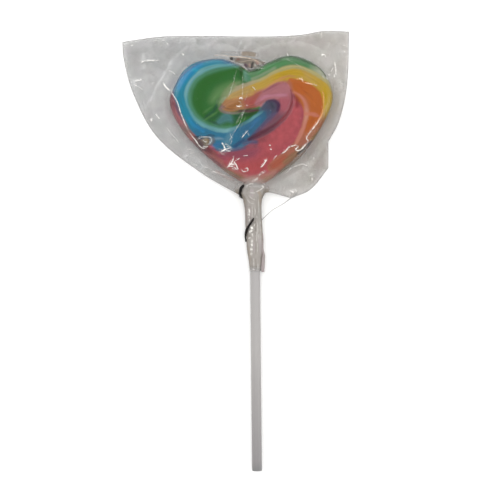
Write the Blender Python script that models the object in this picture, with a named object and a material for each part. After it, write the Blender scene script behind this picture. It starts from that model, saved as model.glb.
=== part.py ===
"""Heart lollipop in its clear film bag, lying on its back, in metres.

The stick runs along -Y, the shown face of the candy looks up, and z = 0 is the surface that it lies on.
The origin lies under the middle of the candy, on the stick's centre line.
"""

import math

import bmesh
import bpy
from mathutils import Vector
from mathutils.geometry import interpolate_bezier

MM = 0.001

# Fits between the pieces
GAP = 0.3 * MM
FILM_WALL = 0.3 * MM

# Candy heart: one folded rope of boiled sugar, pressed flat
CANDY_THICKNESS = 5.6 * MM
CANDY_EDGE_ROUND = 2.6 * MM
CANDY_FLAT_INSET = 8.0 * MM
CANDY_SEGMENTS = 84
RIM_STEPS = 4
CURVE_STEP = 0.5 * MM
CANDY_CENTRE = Vector((-0.7 * MM, 1.0 * MM))
# Outline of the heart, whose first knot is the notch, its one corner
HEART_KNOTS_MM = [
    (-1.4, 16.2),
    (-5.1, 18.2),
    (-11.4, 20.3),
    (-22.0, 17.9),
    (-27.7, 9.3),
    (-28.5, 5.0),
    (-26.3, -0.9),
    (-21.0, -8.2),
    (-10.9, -17.4),
    (-3.6, -22.2),
    (0.1, -23.1),
    (4.2, -22.0),
    (15.0, -14.3),
    (22.5, -4.4),
    (26.4, 3.4),
    (27.1, 7.2),
    (26.0, 11.9),
    (22.2, 17.3),
    (13.1, 21.1),
    (4.9, 18.8),
    (1.3, 16.9),
]

# The seams where the folded rope meets itself, as grooves in the shown face
SEAM_ROUND = 1.1 * MM
SEAM_DEPTH = 0.55 * MM
SEAMS_MM = {
    "fold_seam": [
        (-9.5, 7.4),
        (-11.9, 5.0),
        (-9.6, 2.6),
        (-4.5, 1.9),
        (0.4, 3.4),
        (4.0, 5.4),
    ],
    "tail_seam": [
        (12.9, 9.2),
        (13.2, 5.0),
        (10.4, 0.1),
        (3.9, -5.0),
        (-2.4, -8.0),
        (-8.2, -10.4),
        (-15.2, -8.9),
    ],
}

# Stick: a plain plastic tube
STICK_DIAMETER = 3.4 * MM
STICK_BORE = 1.8 * MM
STICK_END_Y = -119.9 * MM
STICK_IN_CANDY = 15.0 * MM
STICK_CHAMFER = 0.35 * MM
STICK_SIDES = 28
CUT_OVERRUN = 5.0 * MM

# Film bag: a flat pocket with a header strip above its weld, gathered round the stick below
BAG_KNOTS_MM = [
    (-44.5, 26.4),
    (-28.8, 28.3),
    (-4.4, 27.9),
    (16.0, 28.2),
    (24.6, 29.5),
    (32.9, 29.3),
    (31.9, 10.9),
    (29.1, -1.3),
    (25.4, -8.2),
    (25.3, -17.2),
    (19.1, -24.5),
    (12.5, -27.4),
    (2.6, -25.0),
    (-5.2, -26.3),
    (-18.4, -18.2),
    (-33.2, -5.8),
    (-41.0, 8.9),
    (-44.1, 20.8),
]
BAG_CORNERS = {0, 5, 8, 9, 11, 12, 13}
BAG_STEP = 3.0 * MM
FIN_THICKNESS = 0.8 * MM
FIN_SAG = 1.0 * MM
FIN_WAVE = 0.5 * MM
FIN_WAVE_LENGTH = 31.0 * MM
FIN_LOWEST = 0.3 * MM

# The pocket's film lies on the candy, then slopes down from a shoulder inside its rim to a foot beyond it
TENT_SHOULDER = 2.2 * MM
TENT_REACH = 6.0 * MM
TENT_REACH_SHARE = 0.8
# Rings of the pocket: 0 is its middle, 1 the shoulder, 2 the foot and 3 the bag's edge
POUCH_STAGES = (0.5, 0.82, 1.0, 1.16, 1.34, 1.55, 1.78, 2.0, 2.5, 3.0)

# Neck of the bag: pleated film twisted round the stick, as (y, left x, right x, half height)
NECK_STATIONS_MM = [
    (-19.0, -4.6, 4.0, 2.7),
    (-22.4, -5.4, 4.0, 2.7),
    (-25.4, -5.3, 3.3, 2.7),
    (-27.2, -4.4, 2.7, 2.65),
    (-29.2, -3.6, 2.5, 2.6),
    (-31.9, -3.3, 2.4, 2.6),
    (-35.3, -3.2, 2.5, 2.6),
    (-41.4, -3.3, 2.8, 2.7),
    (-44.9, -2.7, 2.8, 2.6),
    (-48.5, -2.4, 2.5, 2.4),
    (-51.5, -2.3, 2.3, 2.3),
]
NECK_RINGS = 22
NECK_SIDES = 30
PLEATS = 5
PLEAT_DEPTH = 0.05
PLEAT_TWIST_PER_M = 350.0
STICK_BORE_TOP_Y = -18.0 * MM

# Loose end of the film beside the neck, as (y, middle x, half width, half height)
LOOSE_END_STATIONS_MM = [
    (-37.0, 1.9, 0.4, 0.4),
    (-42.0, 2.4, 0.6, 0.9),
    (-47.0, 2.6, 0.65, 1.1),
    (-51.0, 2.6, 0.7, 1.0),
    (-52.4, 2.6, 0.45, 0.6),
]
LOOSE_END_SIDES = 10

# Drawn-out strand of film from the bag's lower corner to the neck
STRAND_MM = [(2.2, -34.9), (6.0, -31.5), (10.2, -29.0), (14.6, -25.6)]
STRAND_RADIUS = 0.3 * MM

# Dark tie: a short hooked wire on the left of the neck, as (y, degrees round the neck from +X over the top)
TIE_RADIUS = 0.42 * MM
TIE_CLEARANCE = 0.4 * MM
TIE_STATIONS = [
    (-23.2, 116.0),
    (-24.6, 140.0),
    (-26.2, 176.0),
    (-28.0, 212.0),
    (-32.0, 232.0),
    (-37.8, 230.0),
    (-41.8, 206.0),
    (-41.0, 180.0),
    (-39.2, 157.0),
    (-37.7, 136.0),
    (-36.0, 112.0),
    (-34.0, 93.0),
]

# Heights: the back film, the gap and half the candy put everything's middle plane here
MID_HEIGHT = FILM_WALL + GAP + CANDY_THICKNESS / 2
BAG_TOP = 2 * MID_HEIGHT


def clear_scene():
    for leftover in list(bpy.data.objects):
        bpy.data.objects.remove(leftover, do_unlink=True)


def material(name, hex_colour, roughness, alpha=1.0):
    """A Principled material from an sRGB hex colour."""
    channels = [int(hex_colour[i : i + 2], 16) / 255 for i in (1, 3, 5)]
    linear = [c / 12.92 if c <= 0.04045 else ((c + 0.055) / 1.055) ** 2.4 for c in channels]
    made = bpy.data.materials.new(name)
    made.use_nodes = True
    shader = made.node_tree.nodes["Principled BSDF"]
    shader.inputs["Base Color"].default_value = (*linear, 1.0)
    shader.inputs["Roughness"].default_value = roughness
    shader.inputs["Metallic"].default_value = 0.0
    shader.inputs["Alpha"].default_value = alpha
    made.diffuse_color = (*linear, alpha)
    return made


def smooth_loop(knots_mm, corners, step):
    """Points about step apart on a closed Bezier curve through the knots, sharp only at the corners."""
    knots = [Vector(k) * MM for k in knots_mm]
    count = len(knots)
    loop = []
    for i, knot in enumerate(knots):
        following = knots[(i + 1) % count]
        reach = (following - knot).length / 3
        leave = following - knot if i in corners else following - knots[i - 1]
        arrive = following - knot if (i + 1) % count in corners else knots[(i + 2) % count] - knot
        handle_out = knot + leave.normalized() * reach
        handle_in = following - arrive.normalized() * reach
        pieces = max(2, round(3 * reach / step))
        loop += interpolate_bezier(knot, handle_out, handle_in, following, pieces + 1)[:-1]
    return [Vector(p[:2]) for p in loop]


def evenly(loop, count):
    """The closed loop again, as count points at even distances from its first point."""
    closed = loop + loop[:1]
    lengths = [(b - a).length for a, b in zip(closed, closed[1:])]
    spacing = sum(lengths) / count
    found, walked, side = [], 0.0, 0
    for i in range(count):
        while walked + lengths[side] < i * spacing - 1e-12:
            walked += lengths[side]
            side += 1
        share = (i * spacing - walked) / lengths[side]
        found.append(closed[side].lerp(closed[side + 1], share))
    return found


def grown(loop, distance):
    """The anticlockwise loop, moved outwards along its own normals."""
    moved = []
    for i, point in enumerate(loop):
        along = loop[(i + 1) % len(loop)] - loop[i - 1]
        moved.append(point + Vector((along.y, -along.x)).normalized() * distance)
    return moved


def radius_towards(loop, centre, direction):
    """Distance from the centre to the loop along the unit direction."""
    best = 0.0
    for a, b in zip(loop, loop[1:] + loop[:1]):
        side = b - a
        cross = direction.x * side.y - direction.y * side.x
        if abs(cross) < 1e-15:
            continue
        offset = a - centre
        distance = (offset.x * side.y - offset.y * side.x) / cross
        share = (offset.x * direction.y - offset.y * direction.x) / cross
        if distance > best and -1e-9 <= share <= 1 + 1e-9:
            best = distance
    return best


def smoothstep(share):
    """0 below 0, 1 above 1, and a smooth S between."""
    share = min(1.0, max(0.0, share))
    return share * share * (3 - 2 * share)


def through(stations, key):
    """The stations' other values at a key, eased between the two stations whose first values hold it."""
    for a, b in zip(stations, stations[1:]):
        if min(a[0], b[0]) <= key <= max(a[0], b[0]):
            share = smoothstep((key - a[0]) / (b[0] - a[0]))
            return [p + (q - p) * share for p, q in zip(a[1:], b[1:])]
    raise ValueError("the key lies past the stations")


def link(name, mesh, finish):
    made = bpy.data.objects.new(name, mesh)
    bpy.context.scene.collection.objects.link(made)
    if finish:
        mesh.materials.append(finish)
    return made


def ring_solid(name, rings, finish=None, sharp_angle=math.radians(50)):
    """A closed solid through rings of points. A ring of one point is a pole, and other ends are capped."""
    builder = bmesh.new()
    rows = [[builder.verts.new(p) for p in ring] for ring in rings]
    for upper, lower in zip(rows, rows[1:]):
        size = max(len(upper), len(lower))
        for i in range(size):
            corners = [upper[i % len(upper)], upper[(i + 1) % len(upper)]]
            corners += [lower[(i + 1) % len(lower)], lower[i % len(lower)]]
            builder.faces.new(list(dict.fromkeys(corners)))
    for end in (rows[0], rows[-1]):
        if len(end) > 1:
            builder.faces.new(end)
    bmesh.ops.recalc_face_normals(builder, faces=builder.faces)
    mesh = bpy.data.meshes.new(name)
    builder.to_mesh(mesh)
    builder.free()
    mesh.shade_smooth()
    mesh.set_sharp_from_angle(angle=sharp_angle)
    return link(name, mesh, finish)


def tube(name, points, radius, finish=None, resolution=2):
    """A round bar along the points, as a curve object with filled ends."""
    curve = bpy.data.curves.new(name, "CURVE")
    curve.dimensions = "3D"
    curve.bevel_depth = radius
    curve.bevel_resolution = resolution
    curve.use_fill_caps = True
    spline = curve.splines.new("POLY")
    spline.points.add(len(points) - 1)
    for target, point in zip(spline.points, points):
        target.co = (*point, 1.0)
    return link(name, curve, finish)


def as_mesh(curve_object):
    """The curve object again as a mesh object, with its faces welded and pointing outwards."""
    mesh = bpy.data.meshes.new_from_object(curve_object)
    builder = bmesh.new()
    builder.from_mesh(mesh)
    bmesh.ops.remove_doubles(builder, verts=builder.verts, dist=0.001 * MM)
    bmesh.ops.recalc_face_normals(builder, faces=builder.faces)
    builder.to_mesh(mesh)
    builder.free()
    name = curve_object.name
    bpy.data.objects.remove(curve_object)
    return link(name, mesh, None)


def smooth_path(points, pieces):
    """Points on a smooth open curve through the given ones, with so many pieces between each two."""
    path = []
    for i in range(len(points) - 1):
        a, b = points[i], points[i + 1]
        before = points[i - 1] if i else a
        after = points[i + 2] if i + 2 < len(points) else b
        path += interpolate_bezier(a, a + (b - before) / 6, b - (after - a) / 6, b, pieces + 1)[:-1]
    return path + [points[-1]]


def stick_cylinder(name, radius, start_y, end_y):
    """A cylinder on the stick's axis between two places along it."""
    builder = bmesh.new()
    bmesh.ops.create_cone(
        builder,
        cap_ends=True,
        segments=STICK_SIDES,
        radius1=radius,
        radius2=radius,
        depth=abs(start_y - end_y),
    )
    mesh = bpy.data.meshes.new(name)
    builder.to_mesh(mesh)
    builder.free()
    made = link(name, mesh, None)
    made.rotation_euler = (math.radians(90), 0.0, 0.0)
    made.location = (0.0, (start_y + end_y) / 2, MID_HEIGHT)
    return made


def fuse(target, pieces):
    """Joins the pieces into the target by one union, and removes them."""
    collection = bpy.data.collections.new(target.name + "_pieces")
    bpy.context.scene.collection.children.link(collection)
    for piece in pieces:
        bpy.context.scene.collection.objects.unlink(piece)
        collection.objects.link(piece)
    union = target.modifiers.new("one_film", "BOOLEAN")
    union.operation = "UNION"
    union.operand_type = "COLLECTION"
    union.collection = collection
    bpy.context.view_layer.update()
    graph = bpy.context.evaluated_depsgraph_get()
    joined = bpy.data.meshes.new_from_object(target.evaluated_get(graph))
    target.modifiers.clear()
    target.data = joined
    for piece in pieces:
        bpy.data.objects.remove(piece, do_unlink=True)
    bpy.data.collections.remove(collection)


def cut(target, cutter):
    """Cuts the target with a cutter that isn't part of the model."""
    cutter.hide_render = True
    cutter.display_type = "WIRE"
    difference = target.modifiers.new("cut_" + cutter.name, "BOOLEAN")
    difference.operation = "DIFFERENCE"
    difference.object = cutter


def heart_rings(outline, half_thickness, edge_round):
    """Rings of a flat heart with a round rim, from the middle of its top to the middle of its back."""

    def ring(inwards, height):
        points = []
        for rim in outline:
            spoke = rim - CANDY_CENTRE
            place = CANDY_CENTRE + spoke * (1 - inwards / spoke.length)
            points.append((place.x, place.y, MID_HEIGHT + height))
        return points

    def round_rim(sign):
        """Rings over the rim's rounding, from the flat towards the widest line."""
        made = []
        for step in range(RIM_STEPS):
            angle = math.pi / 2 * step / RIM_STEPS
            made.append(ring(edge_round * (1 - math.sin(angle)), sign * half_thickness * math.cos(angle)))
        return made

    middle = [(CANDY_CENTRE.x, CANDY_CENTRE.y, MID_HEIGHT + half_thickness)]
    back = [(CANDY_CENTRE.x, CANDY_CENTRE.y, MID_HEIGHT - half_thickness)]
    top = [middle, ring(CANDY_FLAT_INSET, half_thickness)] + round_rim(1)
    under = [back, ring(CANDY_FLAT_INSET, -half_thickness)] + round_rim(-1)
    return top + [ring(0.0, 0.0)] + under[::-1]


def seam_cutter(name, route_mm):
    """A round bar along a seam, sunk by the groove's depth, that rises out of the face at both ends."""
    height = MID_HEIGHT + CANDY_THICKNESS / 2 + SEAM_ROUND - SEAM_DEPTH
    path = smooth_path([Vector((x * MM, y * MM, height)) for x, y in route_mm], 4)
    for i, point in enumerate(path):
        from_middle = abs(2 * i / (len(path) - 1) - 1)
        point.z += SEAM_DEPTH * from_middle**6
    return as_mesh(tube(name, path, SEAM_ROUND, resolution=3))


def make_candy(heart):
    finish = material("boiled_sugar", "#B5505A", 0.15)
    candy = ring_solid("candy_heart", heart_rings(heart, CANDY_THICKNESS / 2, CANDY_EDGE_ROUND), finish)
    for name, route_mm in SEAMS_MM.items():
        cut(candy, seam_cutter(name + "_cutter", route_mm))
    tip_y = min(p.y for p in heart)
    pocket_end = tip_y + STICK_IN_CANDY + GAP
    pocket_mouth = tip_y - CUT_OVERRUN
    cut(candy, stick_cylinder("stick_pocket_cutter", STICK_DIAMETER / 2 + GAP, pocket_mouth, pocket_end))
    return candy


def make_stick(heart):
    """A tube with a chamfered rim at both ends, turned about its own axis."""
    finish = material("white_polypropylene", "#D8D5D2", 0.35)
    inner_end = min(p.y for p in heart) + STICK_IN_CANDY
    outer, bore = STICK_DIAMETER / 2, STICK_BORE / 2
    profile = [
        (bore, STICK_END_Y),
        (outer - STICK_CHAMFER, STICK_END_Y),
        (outer, STICK_END_Y + STICK_CHAMFER),
        (outer, inner_end - STICK_CHAMFER),
        (outer - STICK_CHAMFER, inner_end),
        (bore, inner_end),
    ]
    builder = bmesh.new()
    corners = [builder.verts.new((radius, y, 0.0)) for radius, y in profile]
    edges = [builder.edges.new((a, b)) for a, b in zip(corners, corners[1:] + corners[:1])]
    bmesh.ops.spin(
        builder,
        geom=corners + edges,
        cent=(0.0, 0.0, 0.0),
        axis=(0.0, 1.0, 0.0),
        angle=math.tau,
        steps=STICK_SIDES,
        use_merge=True,
    )
    bmesh.ops.recalc_face_normals(builder, faces=builder.faces)
    mesh = bpy.data.meshes.new("stick")
    builder.to_mesh(mesh)
    builder.free()
    mesh.shade_smooth()
    mesh.set_sharp_from_angle(angle=math.radians(30))
    stick = link("stick", mesh, finish)
    stick.location.z = MID_HEIGHT
    return stick


def fin_middle(place, beyond_rim):
    """Height of the middle of the flat film beside the candy, which sags a little and waves."""
    ramp = min(1.0, max(0.0, beyond_rim) / TENT_REACH)
    wave = math.sin(math.tau * (place.x + 0.6 * place.y) / FIN_WAVE_LENGTH)
    height = MID_HEIGHT - ramp * (FIN_SAG - FIN_WAVE * wave)
    return max(height, FIN_LOWEST + FIN_THICKNESS / 2)


def pouch_rings(heart, bag):
    """Rings of the pocket's outer form, from above the candy's middle to below it."""
    spokes = []
    for corner in bag:
        spoke = corner - CANDY_CENTRE
        rim = radius_towards(heart, CANDY_CENTRE, spoke.normalized())
        reach = min(TENT_REACH, TENT_REACH_SHARE * (spoke.length - rim))
        spokes.append((spoke.normalized(), rim, (0.0, rim - TENT_SHOULDER, rim + reach, spoke.length)))

    def ring(stage, side):
        """One ring of the shown film, where side is 1, or of the back film, where it is -1."""
        flat = BAG_TOP if side > 0 else 0.0
        begin = min(2, int(stage))
        slope = smoothstep(stage - 1)
        points = []
        for direction, rim, marks in spokes:
            radius = marks[begin] + (marks[begin + 1] - marks[begin]) * (stage - begin)
            place = CANDY_CENTRE + direction * radius
            fin = fin_middle(place, radius - rim) + side * FIN_THICKNESS / 2
            points.append((place.x, place.y, flat + (fin - flat) * slope))
        return points

    top = [[(CANDY_CENTRE.x, CANDY_CENTRE.y, BAG_TOP)]] + [ring(stage, 1) for stage in POUCH_STAGES]
    under = [[(CANDY_CENTRE.x, CANDY_CENTRE.y, 0.0)]] + [ring(stage, -1) for stage in POUCH_STAGES]
    return top + under[::-1]


def neck_point(y_mm, angle, clearance=0.0):
    """A point on the neck's film, or so far outside it. The angle runs from +X over the top."""
    left, right, half_height = through(NECK_STATIONS_MM, y_mm)
    pleat = 1 + PLEAT_DEPTH * math.cos(PLEATS * angle + PLEAT_TWIST_PER_M * y_mm * MM)
    x = (left + right) / 2 * MM + ((right - left) / 2 * MM * pleat + clearance) * math.cos(angle)
    z = MID_HEIGHT + (half_height * MM * pleat + clearance) * math.sin(angle)
    return Vector((x, y_mm * MM, z))


def make_neck():
    first, last = NECK_STATIONS_MM[0][0], NECK_STATIONS_MM[-1][0]
    rings = []
    for i in range(NECK_RINGS + 1):
        y_mm = first + (last - first) * i / NECK_RINGS
        rings.append([neck_point(y_mm, math.tau * k / NECK_SIDES) for k in range(NECK_SIDES)])
    return ring_solid("neck", rings)


def make_loose_end():
    rings = []
    for y_mm, middle, half_width, half_height in LOOSE_END_STATIONS_MM:
        ring = []
        for k in range(LOOSE_END_SIDES):
            angle = math.tau * k / LOOSE_END_SIDES
            x = (middle + half_width * math.cos(angle)) * MM
            ring.append((x, y_mm * MM, MID_HEIGHT + half_height * MM * math.sin(angle)))
        rings.append(ring)
    return ring_solid("loose_end", rings)


def make_strand():
    end = Vector(STRAND_MM[-1]) * MM
    end_height = fin_middle(end, TENT_REACH)
    points = []
    for i, (x, y) in enumerate(STRAND_MM):
        share = i / (len(STRAND_MM) - 1)
        points.append(Vector((x * MM, y * MM, MID_HEIGHT + (end_height - MID_HEIGHT) * share)))
    return as_mesh(tube("strand", smooth_path(points, 3), STRAND_RADIUS, resolution=1))


def make_bag(heart):
    finish = material("clear_film", "#D4D4D2", 0.12, alpha=0.35)
    outline = smooth_loop(BAG_KNOTS_MM, BAG_CORNERS, BAG_STEP)
    bag = ring_solid("bag", pouch_rings(heart, outline), finish)
    fuse(bag, [make_neck(), make_loose_end(), make_strand()])
    hollow = heart_rings(grown(heart, GAP), CANDY_THICKNESS / 2 + GAP, CANDY_EDGE_ROUND + GAP)
    cut(bag, ring_solid("candy_hollow_cutter", hollow))
    neck_end = NECK_STATIONS_MM[-1][0] * MM
    bore_end = neck_end - CUT_OVERRUN
    cut(bag, stick_cylinder("stick_bore_cutter", STICK_DIAMETER / 2 + GAP, bore_end, STICK_BORE_TOP_Y))
    return bag


def make_tie():
    """One wire with two free ends on the shown side. Between them it hooks behind the left of the neck."""
    finish = material("dark_tie", "#2A211F", 0.3)
    stations = [Vector((y_mm, degrees, 0.0)) for y_mm, degrees in TIE_STATIONS]
    points = []
    for y_mm, degrees, _ in smooth_path(stations, 3):
        points.append(neck_point(y_mm, math.radians(degrees), TIE_CLEARANCE + TIE_RADIUS))
    tube("tie", points, TIE_RADIUS, finish)


def main():
    clear_scene()
    heart = evenly(smooth_loop(HEART_KNOTS_MM, {0}, CURVE_STEP), CANDY_SEGMENTS)
    make_candy(heart)
    make_stick(heart)
    make_bag(heart)
    make_tie()


main()
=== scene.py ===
"""Heart lollipop in its clear film bag: the surfaces and the studio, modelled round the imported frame.

The frame lies in the XY plane with the stick along -Y and the shown face up. Lengths are in metres, and
values whose names end in MM are in millimetres.
"""

import math

import bpy
import numpy as np
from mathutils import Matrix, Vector, kdtree, noise
from mathutils.geometry import interpolate_bezier


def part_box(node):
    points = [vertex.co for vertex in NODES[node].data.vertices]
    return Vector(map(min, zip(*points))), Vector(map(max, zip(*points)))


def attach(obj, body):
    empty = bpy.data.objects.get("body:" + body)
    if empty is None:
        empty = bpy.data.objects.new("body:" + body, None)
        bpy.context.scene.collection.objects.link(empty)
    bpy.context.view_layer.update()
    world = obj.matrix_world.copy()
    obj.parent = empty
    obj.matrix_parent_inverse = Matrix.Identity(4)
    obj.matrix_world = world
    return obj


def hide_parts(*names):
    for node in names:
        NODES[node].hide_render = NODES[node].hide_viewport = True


bl_info = {
    "name": "Bagged Heart Lollipop",
    "version": (1, 0, 0),
    "blender": (4, 5, 0),
    "location": "3D Viewport > Sidebar > Lollipop",
    "description": "Models a swirled heart lollipop in a clear film bag, and the studio that it lies in",
    "category": "Add Mesh",
}

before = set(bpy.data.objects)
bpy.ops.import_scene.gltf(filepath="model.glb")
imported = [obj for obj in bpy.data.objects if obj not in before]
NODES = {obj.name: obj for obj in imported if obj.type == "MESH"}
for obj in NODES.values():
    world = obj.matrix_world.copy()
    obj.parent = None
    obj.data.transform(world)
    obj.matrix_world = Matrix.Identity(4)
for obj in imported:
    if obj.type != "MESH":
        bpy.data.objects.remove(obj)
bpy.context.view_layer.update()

MM = 0.001

# Places that come from the frame
BAG_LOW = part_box("bag")[0]
STICK_LOW, STICK_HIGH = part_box("stick")
MID_HEIGHT = (STICK_LOW.z + STICK_HIGH.z) / 2
MID_MM = MID_HEIGHT / MM

# The camera's aim, how far the stick leans in its picture, and the eye's height over the stick
VIEW_MIDDLE_MM = (-1.66, -44.87)
STICK_LEAN = math.atan(0.0097)
EYE_MM = 472.2

# Outlines of the candy and of the bag, as in the solids
CANDY_CENTRE_MM = (-0.7, 1.0)
OUTLINE_STEP = 0.8 * MM
HEART_KNOTS_MM = [
    (-1.4, 16.2), (-5.1, 18.2), (-11.4, 20.3), (-22.0, 17.9), (-27.7, 9.3), (-28.5, 5.0), (-26.3, -0.9),
    (-21.0, -8.2), (-10.9, -17.4), (-3.6, -22.2), (0.1, -23.1), (4.2, -22.0), (15.0, -14.3), (22.5, -4.4),
    (26.4, 3.4), (27.1, 7.2), (26.0, 11.9), (22.2, 17.3), (13.1, 21.1), (4.9, 18.8), (1.3, 16.9),
]
HEART_CORNERS = {0}
BAG_KNOTS_MM = [
    (-44.5, 26.4), (-28.8, 28.3), (-4.4, 27.9), (16.0, 28.2), (24.6, 29.5), (32.9, 29.3), (31.9, 10.9),
    (29.1, -1.3), (25.4, -8.2), (25.3, -17.2), (19.1, -24.5), (12.5, -27.4), (4.2, -25.3), (-5.7, -25.8),
    (-18.4, -18.2), (-33.2, -5.8), (-41.0, 8.9), (-44.1, 20.8),
]
BAG_CORNERS = {0, 5, 8, 9, 11}
NECK_STARTS_AFTER = 13

# How far a stroke of full strength spreads under its neighbours, so that no red shows between them
UNDERPAINT_MM = 1.1

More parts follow.
